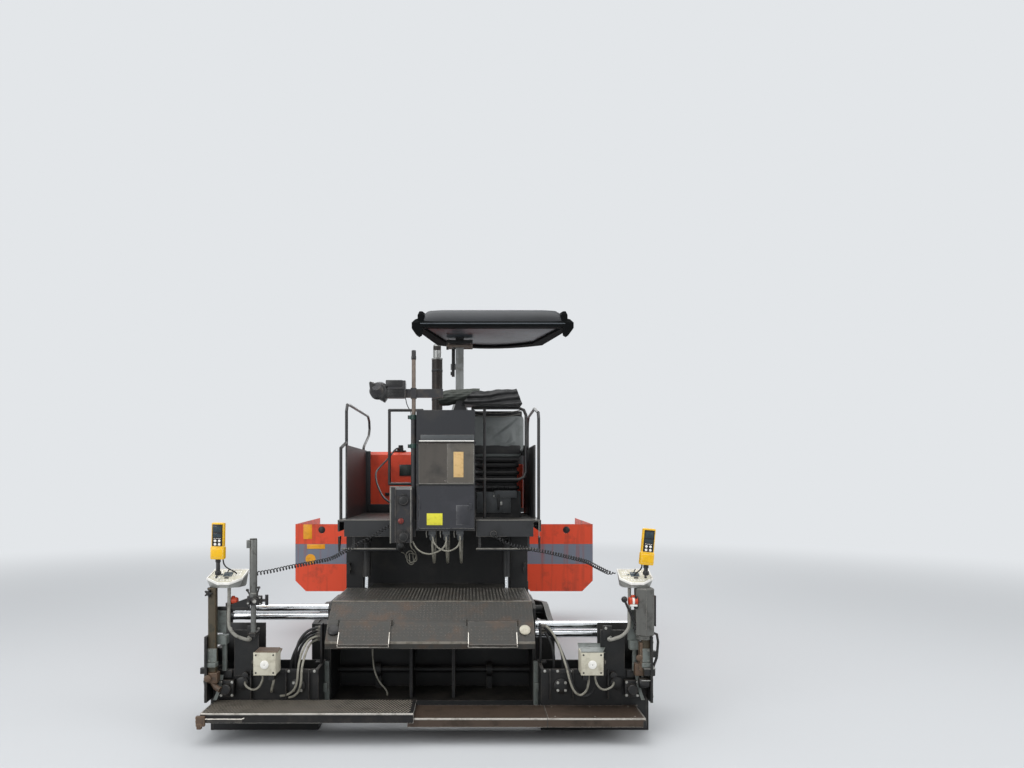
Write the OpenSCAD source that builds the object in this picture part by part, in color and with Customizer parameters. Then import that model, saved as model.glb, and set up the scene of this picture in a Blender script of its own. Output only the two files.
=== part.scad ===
// Compact crawler asphalt paver with a telescopic screed, standing parked with its screed on the ground.
// X runs to the right, Y forwards in the working direction, Z up. The origin is on the ground, midway
// along the machine and on its centre plane.

/* [Tracks] */
// Width of a track shoe
shoe_w = 250; // [200:10:260]
// Height of a track loop over its shoes
track_h = 520; // [500:10:540]
// Distance between the sprocket and idler centres
track_base = 1700; // [1600:50:1750]
// Place of the sprocket centre along the machine
sprocket_y = -800; // [-820:10:-760]
// Thickness of the chain and its shoe plate
chain_t = 22; // [18:1:28]
// Height of the rubber pad on each shoe
pad_t = 24; // [18:1:30]
// Number of shoes in a loop
shoe_n = 40; // [36:2:44]
// Length of a pad along the track
pad_l = 84; // [70:2:96]

/* [Chassis] */
// Half width of the main frame over its side plates
frame_half = 550; // [520:5:560]
// Clear width between the main frame and each track
track_gap = 25; // [15:5:60]
// Thickness of the main frame's side plates
frame_t = 20; // [12:1:25]
// Height of the main frame's underside above the ground
belly_z = 230; // [200:5:260]
// Height of the engine floor
floor_z = 760; // [740:5:800]
// Half width of the conveyor tunnel
tunnel_half = 330; // [280:5:360]
// Thickness of plain plates
plate_t = 12; // [8:1:15]

/* [Platform] */
// Height of the operator's deck
deck_z = 1340; // [1300:10:1380]
// Rear edge of the deck
deck_rear = -1275; // [-1300:5:-1260]
// Distance of the left side wall from the centre plane
wall_left = 715; // [690:5:720]
// Distance of the right side wall from the centre plane
wall_right = 780; // [740:5:785]
// Height of the platform's side walls above the deck
wall_h = 590; // [450:10:620]
// Height of the orange hood above the deck
hood_h = 580; // [500:10:620]
// Rear face of the hood
hood_rear = 100; // [90:5:140]
// Length of the hood
hood_l = 600; // [560:10:610]
// Outer radius of the exhaust pipe
exhaust_r = 52; // [40:1:60]
// Height of the exhaust pipe's mouth
exhaust_z = 2950; // [2600:10:3000]

/* [Cabinet] */
// Left edge of the electrical cabinet
cabinet_x = -146; // [-160:2:-140]
// Width of the cabinet
cabinet_w = 453; // [430:1:470]
// Depth of the cabinet
cabinet_d = 200; // [160:5:220]
// Height of the cabinet's underside
cabinet_z = 1260; // [1240:5:1280]
// Height of the cabinet
cabinet_h = 930; // [880:5:940]
// Thickness of the cabinet's walls
cabinet_t = 15; // [10:1:20]

/* [Canopy] */
// Centre of the canopy across the machine
canopy_x = 450; // [430:5:470]
// Width of the canopy
canopy_w = 1300; // [1200:10:1340]
// Depth of the canopy along the machine
canopy_d = 1045; // [900:5:1060]
// Height of the canopy's rim
canopy_z = 2880; // [2800:10:2900]
// Rise of the canopy's crown over its rim
canopy_rise = 130; // [110:5:150]
// Width of the canopy at its front corners
canopy_front = 955; // [850:5:1200]
// Half the side of the square mast
mast_half = 35; // [30:1:45]

/* [Hopper] */
// Distance of the wing hinges from the centre plane
hinge_x = 640; // [620:5:650]
// Height of the wing hinges
hinge_z = 600; // [585:5:615]
// Half width over the open wings
wing_half = 1550; // [1450:10:1600]
// Height of the wings' upper edges
wing_top = 1190; // [1100:10:1230]
// Rear face of the wings
wing_rear = 785; // [775:5:800]
// Length of the wings
wing_l = 1290; // [1200:10:1300]
// Radius of the push rollers
roller_r = 90; // [70:1:100]
// Length of a push roller
roller_l = 590; // [500:10:600]

/* [Auger] */
// Outer radius of the auger flights
flight_r = 150; // [130:5:160]
// Lead of the auger flights
flight_lead = 240; // [200:10:300]
// Height of the auger shaft
auger_z = 330; // [310:5:350]
// Place of the auger shaft along the machine
auger_y = -1265; // [-1275:5:-1255]
// Length of one auger half
auger_l = 680; // [600:10:690]

/* [Screed] */
// Half width of the basic screed
screed_half = 725; // [700:5:740]
// Rear face of the basic screed
screed_rear = -1870; // [-1880:5:-1850]
// Depth of the basic screed
screed_d = 430; // [400:5:430]
// Height of the basic screed's box over its sole
screed_h = 530; // [480:10:540]
// Height of the heated sole box
sole_h = 110; // [80:5:140]
// Height of the walkway above the ground
walk_z = 798; // [795:1:820]
// Thickness of the walkway's tread plate
tread_t = 8; // [6:1:10]
// Radius of the chrome guide tubes
guide_r = 27; // [22:1:29]
// Place of the guide tubes along the machine
guide_y = -1775; // [-1790:5:-1760]
// Distance of each extension's outer plate from the centre plane
ext_outer = 1430; // [1400:5:1440]
// Depth of an extension's body
ext_d = 280; // [240:5:290]
// Height of an extension's body
ext_h = 400; // [360:5:420]
// Depth of the footboards
board_d = 299; // [260:1:300]
// Thickness of the footboards
board_t = 30; // [20:1:30]

/* [Tow arms] */
// Place of the tow point along the machine
tow_y = 350; // [300:10:400]
// Height of the tow point
tow_z = 420; // [400:5:440]
// Radius of the tow pin
tow_r = 20; // [16:1:26]
// Width of a tow arm
arm_w = 40; // [30:1:50]

/* [Hidden] */

left = -1;
right = 1;
seat_gap = 0.3;
pin_gap = 0.06;
move_gap = 6;
bar_r = 12;

tractor_w = 2 * (frame_half + track_gap + shoe_w);
track_x = tractor_w / 2 - shoe_w / 2;
loop_r = track_h / 2;
wheel_r = loop_r - chain_t - pad_t - seat_gap;
idler_y = sprocket_y + track_base;
frame_rear = -1000;
frame_front = 2100;
pan_y = 740;

// Sweeps a closed tube with flat ends along a list of points
function unit(v) = v / norm(v);
function heading(p, i) = unit(p[min(i + 1, len(p) - 1)] - p[max(i - 1, 0)]);
function carry(t, n, i = 0) = i == len(t) - 1 ? [n]
    : concat([n], carry(t, unit(n - (n * t[i + 1]) * t[i + 1]), i + 1));
function start_normal(t) = unit(cross(t, abs(t.z) < 0.9 ? [0, 0, 1] : [1, 0, 0]));
// Points of a smooth curve through the chosen points, cut into n steps between each pair
function bend(a, b, c, d, t) = 0.5 * ((2 * b) + (c - a) * t + (2 * a - 5 * b + 4 * c - d) * t * t
    + (3 * b - a - 3 * c + d) * t * t * t);
function smooth(p, n) = concat([for (i = [0:len(p) - 2], j = [0:n - 1])
    bend(p[max(i - 1, 0)], p[i], p[i + 1], p[min(i + 2, len(p) - 1)], j / n)], [p[len(p) - 1]]);
function flip(p, side) = [for (q = p) [side * q.x, q.y, q.z]];

module tube(p, r, sides = 8) {
    swept(p, [for (i = [0:len(p) - 1]) heading(p, i)], r, sides);
}
module swept(p, t, r, sides) {
    normals = carry(t, start_normal(t[0]));
    rings = [for (i = [0:len(p) - 1]) let (n = normals[i], b = cross(t[i], n))
        for (k = [0:sides - 1]) p[i] + r * (cos(k * 360 / sides) * n + sin(k * 360 / sides) * b)];
    walls = [for (i = [0:len(p) - 2], k = [0:sides - 1]) let (a = i * sides, m = (k + 1) % sides)
        [a + k, a + sides + k, a + sides + m, a + m]];
    ends = [[for (k = [0:sides - 1]) k],
        [for (k = [0:sides - 1]) (len(p) - 1) * sides + sides - 1 - k]];
    polyhedron(rings, concat(walls, ends));
}

// A block given by its lowest and highest corners
module block(a, b) {
    translate(a) cube(b - a);
}

// The same block on the given side of the centre plane
module side_block(side, a, b) {
    if (side > 0) block(a, b);
    else block([-b.x, a.y, a.z], [-a.x, b.y, b.z]);
}

// A plate standing across X, cut from a Y-Z outline
module plate_x(x, t, outline) {
    translate([x, 0, 0]) rotate([90, 0, 90]) linear_extrude(t) polygon(outline);
}

// A plate standing across Y, cut from an X-Z outline
module plate_y(y, t, outline) {
    translate([0, y + t, 0]) rotate([90, 0, 0]) linear_extrude(t) polygon(outline);
}

// A round bar between two points
module rod(a, b, r) {
    v = b - a;
    translate(a) rotate([0, acos(v.z / norm(v)), atan2(v.y, v.x)]) cylinder(h = norm(v), r = r, $fn = 48);
}

// A round bar along X
module axle(x0, x1, y, z, r) {
    translate([x0, y, z]) rotate([0, 90, 0]) cylinder(h = x1 - x0, r = r, $fn = 64);
}

module side_axle(side, x0, x1, y, z, r) {
    axle(side > 0 ? x0 : -x1, side > 0 ? x1 : -x0, y, z, r);
}

// Track loop: chain and shoe plates as one belt, with a pad on each shoe
path_r = loop_r - pad_t;
arc_n = 6;
run_n = shoe_n / 2 - arc_n;
run_places = [for (i = [0:run_n - 1]) sprocket_y + (i + 0.5) * track_base / run_n];
arc_angles = [for (i = [0:arc_n - 1]) (i + 0.5) * 180 / arc_n];
pads = concat([for (y = run_places) [y, 0]], [for (a = arc_angles) [idler_y, a]],
    [for (y = run_places) [y, 180]], [for (a = arc_angles) [sprocket_y, 180 + a]]);
module race(r, w) {
    union() {
        axle(-w / 2, w / 2, sprocket_y, loop_r, r);
        axle(-w / 2, w / 2, idler_y, loop_r, r);
        block([-w / 2, sprocket_y, loop_r - r], [w / 2, idler_y, loop_r + r]);
    }
}
module track(side) {
    color("dimgray") translate([side * track_x, 0, 0]) union() {
        difference() {
            race(path_r, shoe_w);
            race(path_r - chain_t, shoe_w + 2);
        }
        for (q = pads) {
            reach = q[1] % 180 == 0 ? loop_r : sqrt(loop_r * loop_r - pad_l * pad_l / 4);
            translate([0, q[0], loop_r]) rotate([q[1], 0, 0])
                block([-shoe_w / 2, -pad_l / 2, -reach], [shoe_w / 2, pad_l / 2, 12 - path_r]);
        }
    }
}
module track_left() { track(left); }
module track_right() { track(right); }

// Track frame: two side plates under a top plate, sprocket, idler, bottom rollers and a carrier roller
bogie_half = 94;
bogie_t = 12;
bottom_r = 62;
bottom_z = loop_r - wheel_r + bottom_r;
carrier_r = 45;
carrier_z = loop_r + wheel_r - carrier_r;
roller_first = sprocket_y + 330;
roller_last = idler_y - 330;
roller_count = 5;
module toothed_wheel(r, w, n) {
    difference() {
        cylinder(h = w, r = r, center = true, $fn = 96);
        for (i = [0:n - 1]) rotate([0, 0, i * 360 / n]) translate([r + 6, 0, 0])
            cylinder(h = w + 2, r = 16, center = true, $fn = 32);
        for (i = [0:4]) rotate([0, 0, i * 72]) translate([r * 0.55, 0, 0])
            cylinder(h = w + 2, r = r * 0.14, center = true, $fn = 32);
    }
}
module track_frame(side) {
    c = track_x;
    color("black") union() {
        for (s = [-1, 1]) {
            x0 = s > 0 ? c + bogie_half - bogie_t : c - bogie_half;
            plate_x(side > 0 ? x0 : -x0 - bogie_t, bogie_t, [
                [roller_first - 60, bottom_z - 26], [roller_last + 60, bottom_z - 26],
                [roller_last + 90, loop_r - 40], [idler_y + 34, loop_r - 40], [idler_y + 34, loop_r + 34],
                [roller_last + 60, loop_r + 60], [sprocket_y + 260, loop_r + 60],
                [sprocket_y + 230, loop_r - 20]]);
        }
        side_block(side, [c - bogie_half, roller_first - 40, loop_r + 60 - bogie_t],
            [c + bogie_half, roller_last + 40, loop_r + 60]);
        for (i = [0:roller_count - 1]) {
            y = roller_first + i * (roller_last - roller_first) / (roller_count - 1);
            side_axle(side, c - bogie_half, c + bogie_half, y, bottom_z, 20);
            for (s = [-1, 1]) side_axle(side, c + s * 45 - 27, c + s * 45 + 27, y, bottom_z, bottom_r);
        }
        mid_y = (sprocket_y + idler_y) / 2;
        side_axle(side, c - 60, c + 60, mid_y, carrier_z, carrier_r);
        for (s = [-1, 1]) side_block(side, [c + s * 66 - 6, mid_y - 40, loop_r + 60 - bogie_t],
            [c + s * 66 + 6, mid_y + 40, carrier_z + 25]);
        side_axle(side, c - bogie_half, c + bogie_half, idler_y, loop_r, 30);
        side_axle(side, c - 50, c + 50, idler_y, loop_r, wheel_r);
        side_axle(side, frame_half, c + 40, sprocket_y, loop_r, 118);
        translate([side * c, sprocket_y, loop_r]) rotate([0, 90, 0]) toothed_wheel(wheel_r, 56, 21);
        for (y = [roller_first + 180, roller_last - 180])
            side_axle(side, frame_half, c - bogie_half + 2, y, loop_r, 46);
    }
}
module track_frame_left() { track_frame(left); }
module track_frame_right() { track_frame(right); }

// Main frame: side plates, belly and engine floor plates, tunnel walls, fenders, bulkhead and brackets
apron_z = hinge_z - 40;
lash_r = 22.5;
front_eye = [2020, 470];
rear_eye = [-1028, 940];
rear_eye_x = frame_half + 150;
bearer_in = frame_half + 50;
bearer_out = tractor_w / 2 - 90;
module chassis() {
    color([0.16, 0.16, 0.17]) difference() {
        chassis_solid();
        for (x0 = [-frame_half - 1, frame_half - frame_t - 1])
            axle(x0, x0 + frame_t + 2, front_eye.x, front_eye.y, lash_r);
        for (x0 = [-rear_eye_x - 1 - frame_t, rear_eye_x - 1])
            axle(x0, x0 + frame_t + 2, rear_eye.x, rear_eye.y, lash_r);
    }
}
module chassis_solid() {
    union() {
        for (s = [left, right]) {
            side_block(s, [rear_eye_x, frame_rear - 55, rear_eye.y - 40],
                [rear_eye_x + frame_t, frame_rear + 10, rear_eye.y + 40]);
            x0 = s > 0 ? frame_half - frame_t : -frame_half;
            plate_x(x0, frame_t, [[frame_rear - 60, belly_z], [frame_front, belly_z + 70],
                [frame_front, apron_z], [pan_y, apron_z], [pan_y, floor_z], [frame_rear, floor_z],
                [frame_rear, track_h + 30], [frame_rear - 60, track_h + 20]]);
            x1 = s > 0 ? tunnel_half : -tunnel_half - plate_t;
            plate_x(x1, plate_t, [[frame_rear - 60, belly_z + 70], [frame_front, belly_z + 70],
                [frame_front, apron_z], [pan_y, apron_z], [pan_y, floor_z], [frame_rear, floor_z],
                [frame_rear - 60, track_h + 20]]);
            side_block(s, [frame_half, frame_rear, track_h + 55],
                [tractor_w / 2, pan_y, track_h + 55 + plate_t]);
            for (y = [frame_rear, -80])
                side_block(s, [bearer_in, y, track_h + 55 + plate_t], [bearer_out, y + 60, deck_z - 60]);
            tow_bracket(s);
            wing_cylinder_base(s);
            lift_lugs(s);
        }
        block([-frame_half, frame_rear + 20, belly_z], [frame_half, frame_front - 160, belly_z + plate_t]);
        block([-frame_half, frame_rear, floor_z], [frame_half, pan_y, floor_z + plate_t]);
        block([-frame_half, frame_rear - 40, floor_z - 130], [frame_half, frame_rear, floor_z + plate_t]);
        block([-frame_half, frame_front - plate_t, belly_z + 70], [frame_half, frame_front, apron_z - 120]);
        block([-bearer_out, -700, floor_z + plate_t], [bearer_out, -700 + plate_t, deck_z - 60]);
        push_bracket();
        auger_drive();
    }
}

// Bracket over the track that carries the tow pin outside it
module tow_bracket(s) {
    x0 = tractor_w / 2 + move_gap;
    side_block(s, [frame_half, tow_y - 70, track_h + 55 + plate_t], [x0 + 8, tow_y + 70, track_h + 140]);
    side_block(s, [x0, tow_y - 70, tow_z - 60], [x0 + 8, tow_y + 70, track_h + 140]);
    side_axle(s, x0, x0 + 8 + move_gap + arm_w + 10, tow_y, tow_z, tow_r);
}

// Two ears on the side plate for a wing cylinder's foot
wing_cyl_y = idler_y + loop_r + 140;
wing_foot = [frame_half + 40, 330];
wing_eye = [wing_half - 400, 575];
ear_gap = 40;
ear_t = 10;
module wing_cylinder_base(s) {
    for (k = [-1, 1]) {
        y0 = wing_cyl_y + (k > 0 ? ear_gap / 2 + 2 : -ear_gap / 2 - 2 - ear_t);
        side_block(s, [frame_half, y0, wing_foot.y - 30], [wing_foot.x + 30, y0 + ear_t, wing_foot.y + 30]);
    }
    translate([s * wing_foot.x, wing_cyl_y - ear_gap / 2 - 2 - ear_t, wing_foot.y])
        rotate([-90, 0, 0]) cylinder(h = ear_gap + 4 + 2 * ear_t, r = bar_r, $fn = 48);
}

// Ears under the deck for a lift cylinder's head
lift_x = frame_half + 10;
lift_head = [-1030, 1180];
lift_eye = [-1110, 620];
lift_half = 16;
module lift_lugs(s) {
    for (k = [-1, 1]) {
        x0 = lift_x + (k > 0 ? lift_half + 2 : -lift_half - 2 - ear_t);
        side_block(s, [x0, lift_head.x - 30, lift_head.y - 30], [x0 + ear_t, lift_head.x + 60, deck_z - 60]);
    }
    side_axle(s, lift_x - lift_half - 2 - ear_t, lift_x + lift_half + 2 + ear_t, lift_head.x, lift_head.y,
        bar_r);
    side_block(s, [lift_x - 40, frame_rear, deck_z - 140], [bearer_in, frame_rear + 60, deck_z - 60]);
}

// Fork at the nose that holds the push beam's upright pin
push_pin_y = 2180;
push_pin_r = 25;
beam_z = 350;
beam_h = 120;
module push_bracket() {
    for (z = [beam_z - beam_h / 2 - 22, beam_z + beam_h / 2 + 6])
        block([-80, frame_front - 40, z], [80, push_pin_y + 45, z + 16]);
    translate([0, push_pin_y, beam_z - beam_h / 2 - 22]) cylinder(h = beam_h + 44, r = push_pin_r, $fn = 64);
    block([-80, frame_front - 40, beam_z - beam_h / 2 - 22], [80, frame_front, beam_z + beam_h / 2 + 22]);
}

// Chain case on the centre plane that drives both auger halves
case_half = 50;
module auger_drive() {
    difference() {
        union() {
            axle(-case_half, case_half, auger_y, auger_z, 96);
            block([-case_half, auger_y - 60, auger_z], [case_half, auger_y + 60, floor_z - 40]);
            block([-case_half, auger_y - 60, floor_z - 130], [case_half, frame_rear - 40, floor_z - 40]);
        }
        for (s = [left, right]) side_axle(s, case_half - 30, case_half + 1, auger_y, auger_z, 30 + pin_gap);
    }
}

// Augers: a shaft with one flight, handed so that both halves push outwards
module auger(side) {
    color("dimgray") union() {
        side_axle(side, case_half - 28, case_half + 12 + auger_l, auger_y, auger_z, 30);
        translate([side * (case_half + 12), auger_y, auger_z]) rotate([0, side * 90, 0])
            linear_extrude(height = auger_l, twist = -side * 360 * auger_l / flight_lead, slices = 56,
                segments = 4)
                polygon([[24, -4], [flight_r, -19], [flight_r, 19], [24, 4]]);
    }
}
module auger_left() { auger(left); }
module auger_right() { auger(right); }

// Conveyor: floor, slats and chains of the upper run, return run and both shafts
conveyor_z = 500;
slat_pitch = 160;
module conveyor() {
    y0 = frame_rear - 40;
    y1 = frame_front - 110;
    color("gray") union() {
        block([-tunnel_half, y0 + 30, conveyor_z], [tunnel_half, y1 - 30, conveyor_z + plate_t]);
        block([-tunnel_half, y0 + 40, belly_z + 80], [tunnel_half, y1 - 40, belly_z + 88]);
        for (y = [y0 + 80 : slat_pitch : y1 - 80])
            block([-tunnel_half + 8, y, conveyor_z + plate_t], [tunnel_half - 8, y + 40, conveyor_z + 34]);
        for (x = [-tunnel_half + 40, -14, tunnel_half - 68])
            block([x, y0 + 40, conveyor_z + plate_t], [x + 28, y1 - 40, conveyor_z + 28]);
        for (y = [y0 + 20, y1 - 20]) {
            axle(-tunnel_half, tunnel_half, y, conveyor_z - 50, 25);
            for (x = [-tunnel_half + 44, -10, tunnel_half - 64]) axle(x, x + 20, y, conveyor_z - 50, 76);
        }
    }
}

// Hopper: rear wall, floor plates beside the conveyor, front apron and the fixed hinge pins
pin_r = 12;
knuckle_n = 4;
pan_front = frame_front - 20;
hinge_y0 = wing_rear + 15;
hinge_y1 = wing_rear + wing_l - 15;
module hopper_pan() {
    color([0.18, 0.18, 0.19]) difference() {
        union() {
            block([-hinge_x + 30, pan_y, apron_z], [hinge_x - 30, pan_y + plate_t, wing_top]);
            for (s = [left, right]) {
                plate_y(pan_y + plate_t, pan_front - pan_y - plate_t, [[s * tunnel_half, apron_z],
                    [s * (hinge_x - 22), apron_z], [s * (hinge_x - 22), hinge_z - 8],
                    [s * (tunnel_half + 30), apron_z + plate_t], [s * tunnel_half, apron_z + plate_t]]);
                for (y = [hinge_y0 - 12, (hinge_y0 + hinge_y1) / 2 - 10, hinge_y1 - 8])
                    side_block(s, [hinge_x - 24, y, apron_z], [hinge_x + 16, y + 20, hinge_z + 14]);
            }
            block([-tunnel_half, pan_front - 40, apron_z], [tunnel_half, pan_front, apron_z + 150]);
        }
        block([plate_t - tunnel_half, pan_y - 1, apron_z - 1],
            [tunnel_half - plate_t, pan_y + plate_t + 1, floor_z - 10]);
        for (s = [left, right]) translate([s * hinge_x, hinge_y0 - 20, hinge_z]) rotate([-90, 0, 0])
            cylinder(h = hinge_y1 - hinge_y0 + 40, r = pin_r + pin_gap, $fn = 48);
    }
}

// Hopper wing: a pressed floor, rear and outer walls, hinge tubes with their pin, and the cylinder's clevis
wing_t = 10;
wing_hole = [1275, 1130];
module hopper_wing(side) {
    color([0.78, 0.22, 0.12]) difference() {
        wing_solid(side);
        translate([side * wing_hole.x, wing_rear - 1, wing_hole.y]) rotate([-90, 0, 0])
            cylinder(h = wing_t + 2, r = 36, $fn = 48);
    }
}
module wing_solid(side) {
    union() {
        plate_y(wing_rear, wing_l, [[side * (hinge_x + 24), hinge_z - 12], [side * 1250, hinge_z + 30],
            [side * wing_half, hinge_z + 250], [side * wing_half, wing_top],
            [side * (wing_half - wing_t), wing_top],
            [side * (wing_half - wing_t), hinge_z + 255], [side * 1246, hinge_z + 40],
            [side * (hinge_x + 24), hinge_z - 2]]);
        plate_y(wing_rear, wing_t, [[side * 840, hinge_z - 40], [side * 900, hinge_z - 110],
            [side * 1440, hinge_z - 110], [side * wing_half, hinge_z], [side * wing_half, wing_top],
            [side * 840, wing_top]]);
        translate([side * hinge_x, hinge_y0 - 12, hinge_z]) rotate([-90, 0, 0])
            cylinder(h = hinge_y1 - hinge_y0 + 24, r = pin_r, $fn = 48);
        for (y = [hinge_y0 + 12, (hinge_y0 + hinge_y1) / 2 + 14]) {
            len = (hinge_y1 - hinge_y0) / 2 - 26 - 12;
            translate([side * hinge_x, y, hinge_z]) rotate([-90, 0, 0]) cylinder(h = len, r = 18, $fn = 48);
            side_block(side, [hinge_x + 4, y, hinge_z - 12], [hinge_x + 26, y + len, hinge_z - 2]);
        }
        for (k = [-1, 1]) {
            y0 = wing_cyl_y + (k > 0 ? ear_gap / 2 + 2 : -ear_gap / 2 - 2 - ear_t);
            side_block(side, [wing_eye.x - 40, y0, wing_eye.y - 30],
                [wing_eye.x + 40, y0 + ear_t, hinge_z + 22]);
        }
    }
}
module hopper_wing_left() { hopper_wing(left); }
module hopper_wing_right() { hopper_wing(right); }

// Hydraulic cylinder along +Z from its foot eye: the eye's axis lies along X
module barrel(reach, r, bore, eye_half, neck) {
    difference() {
        union() {
            rotate([0, 90, 0]) cylinder(h = 2 * eye_half, r = 26, center = true, $fn = 48);
            cylinder(h = neck + 1, r = 15, $fn = 48);
            translate([0, 0, neck]) cylinder(h = reach - neck, r = r, $fn = 64);
        }
        rotate([0, 90, 0]) cylinder(h = 2 * eye_half + 2, r = bar_r + pin_gap, center = true, $fn = 48);
        translate([0, 0, neck + 20]) cylinder(h = reach, r = bore + pin_gap, $fn = 64);
    }
}
module piston(start, reach, r, eye_half) {
    union() {
        translate([0, 0, start]) cylinder(h = reach - start - 10, r = r, $fn = 64);
        translate([0, 0, reach]) rotate([0, 90, 0])
            cylinder(h = 2 * eye_half, r = 25, center = true, $fn = 48);
        translate([0, 0, reach]) rotate([0, 90, 0])
            cylinder(h = 2 * eye_half + 3, r = 14, center = true, $fn = 48);
    }
}

wing_reach = norm(wing_eye - wing_foot);
wing_tilt = atan2(wing_eye.x - wing_foot.x, wing_eye.y - wing_foot.y);
module on_wing_line(side) {
    translate([side * wing_foot.x, wing_cyl_y, wing_foot.y]) rotate([0, side * wing_tilt, 0])
        rotate([0, 0, 90]) children();
}
module wing_barrel(side) {
    color("gold") on_wing_line(side) barrel(510, 34, 18, ear_gap / 2, 48);
}
module wing_rod(side) {
    color("silver") on_wing_line(side) piston(320, wing_reach, 18, ear_gap / 2);
}
module wing_barrel_left() { wing_barrel(left); }
module wing_barrel_right() { wing_barrel(right); }
module wing_rod_left() { wing_rod(left); }
module wing_rod_right() { wing_rod(right); }

lift_reach = norm(lift_head - lift_eye);
lift_tilt = atan2(lift_head.x - lift_eye.x, lift_head.y - lift_eye.y);
module on_lift_line(side) {
    translate([side * lift_x, lift_head.x, lift_head.y]) rotate([180 - lift_tilt, 0, 0]) children();
}
module lift_barrel(side) {
    color("silver") on_lift_line(side) barrel(310, 30, 14, lift_half, 40);
}
module lift_rod(side) {
    color("gainsboro") on_lift_line(side) piston(280, lift_reach, 14, lift_half);
}
module lift_barrel_left() { lift_barrel(left); }
module lift_barrel_right() { lift_barrel(right); }
module lift_rod_left() { lift_rod(left); }
module lift_rod_right() { lift_rod(right); }

// Push beam with the end plates and shafts that carry both rollers
beam_half = frame_half + 150;
beam_y0 = 2194;
beam_y1 = 2264;
roller_y = 4950 / 2 - roller_r;
roller_in = 60;
module push_beam() {
    shaft_end = roller_in + roller_l + 10;
    color([0.16, 0.16, 0.17]) difference() {
        union() {
            block([-beam_half, beam_y0, beam_z - beam_h / 2], [beam_half, beam_y1, beam_z + beam_h / 2]);
            block([-70, push_pin_y - 50, beam_z - beam_h / 2], [70, beam_y0, beam_z + beam_h / 2]);
            for (s = [left, right]) {
                side_block(s, [shaft_end, beam_y1, beam_z - 40],
                    [shaft_end + 14, roller_y + 40, beam_z + 40]);
                side_axle(s, 30, shaft_end + 4, roller_y, beam_z, 22);
            }
            block([-30, beam_y1, beam_z - 40], [30, roller_y + 40, beam_z + 40]);
        }
        translate([0, push_pin_y, beam_z - beam_h])
            cylinder(h = 2 * beam_h, r = push_pin_r + pin_gap, $fn = 64);
    }
}
module push_roller(side) {
    color("gray") difference() {
        side_axle(side, roller_in, roller_in + roller_l, roller_y, beam_z, roller_r);
        side_axle(side, roller_in - 1, roller_in + roller_l + 1, roller_y, beam_z, 22 + pin_gap);
    }
}
module push_roller_left() { push_roller(left); }
module push_roller_right() { push_roller(right); }

// Engine, hood and exhaust
exhaust_at = [-50, 250];
hood_half = tractor_w / 2 - 135;
hood_t = 12;
hood_z = deck_z + hood_h;
module engine_block() {
    color("gray") block([-320, hood_rear + 60, floor_z + plate_t],
        [320, hood_rear + hood_l - 60, deck_z + 120]);
}
module engine_hood() {
    y1 = hood_rear + hood_l;
    r = 60;
    color([0.78, 0.22, 0.12]) difference() {
        plate_x(-hood_half, 2 * hood_half, [[hood_rear, floor_z + plate_t], [y1, floor_z + plate_t],
            [y1, hood_z - 120], [y1 - 60, hood_z], [hood_rear + 30, hood_z], [hood_rear, hood_z - 30]]);
        plate_x(-hood_half + hood_t, 2 * (hood_half - hood_t), [[hood_rear + hood_t, floor_z],
            [y1 - hood_t, floor_z], [y1 - hood_t, hood_z - 125], [y1 - 66, hood_z - hood_t],
            [hood_rear + 34, hood_z - hood_t], [hood_rear + hood_t, hood_z - 36]]);
        translate([exhaust_at.x, exhaust_at.y, hood_z - 60]) cylinder(h = 100, r = exhaust_r + 8, $fn = 64);
        block([-392, hood_rear - 1, hood_z - 226], [-274, hood_rear + hood_t + 1, hood_z - 127]);
        for (i = [0:6]) {
            z = hood_z - 200 - i * 34;
            for (x = [-hood_half - 1, hood_half - hood_t - 1], y = [hood_rear + 80, hood_rear + 320])
                block([x, y, z - 14], [x + hood_t + 2, y + 180, z]);
            for (x = [-520, 40]) block([x, y1 - hood_t - 1, z - 14], [x + 480, y1 + 1, z]);
        }
    }
}
module exhaust() {
    color("dimgray") translate([exhaust_at.x, exhaust_at.y, 0]) difference() {
        union() {
            translate([0, 0, deck_z + 120])
                cylinder(h = exhaust_z - 120 - deck_z - 120, r = exhaust_r, $fn = 64);
            translate([0, 0, exhaust_z - 130]) cylinder(h = 130, r = exhaust_r - 14, $fn = 64);
        }
        translate([0, 0, exhaust_z - 200]) cylinder(h = 201, r = exhaust_r - 18, $fn = 64);
    }
}

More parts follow.
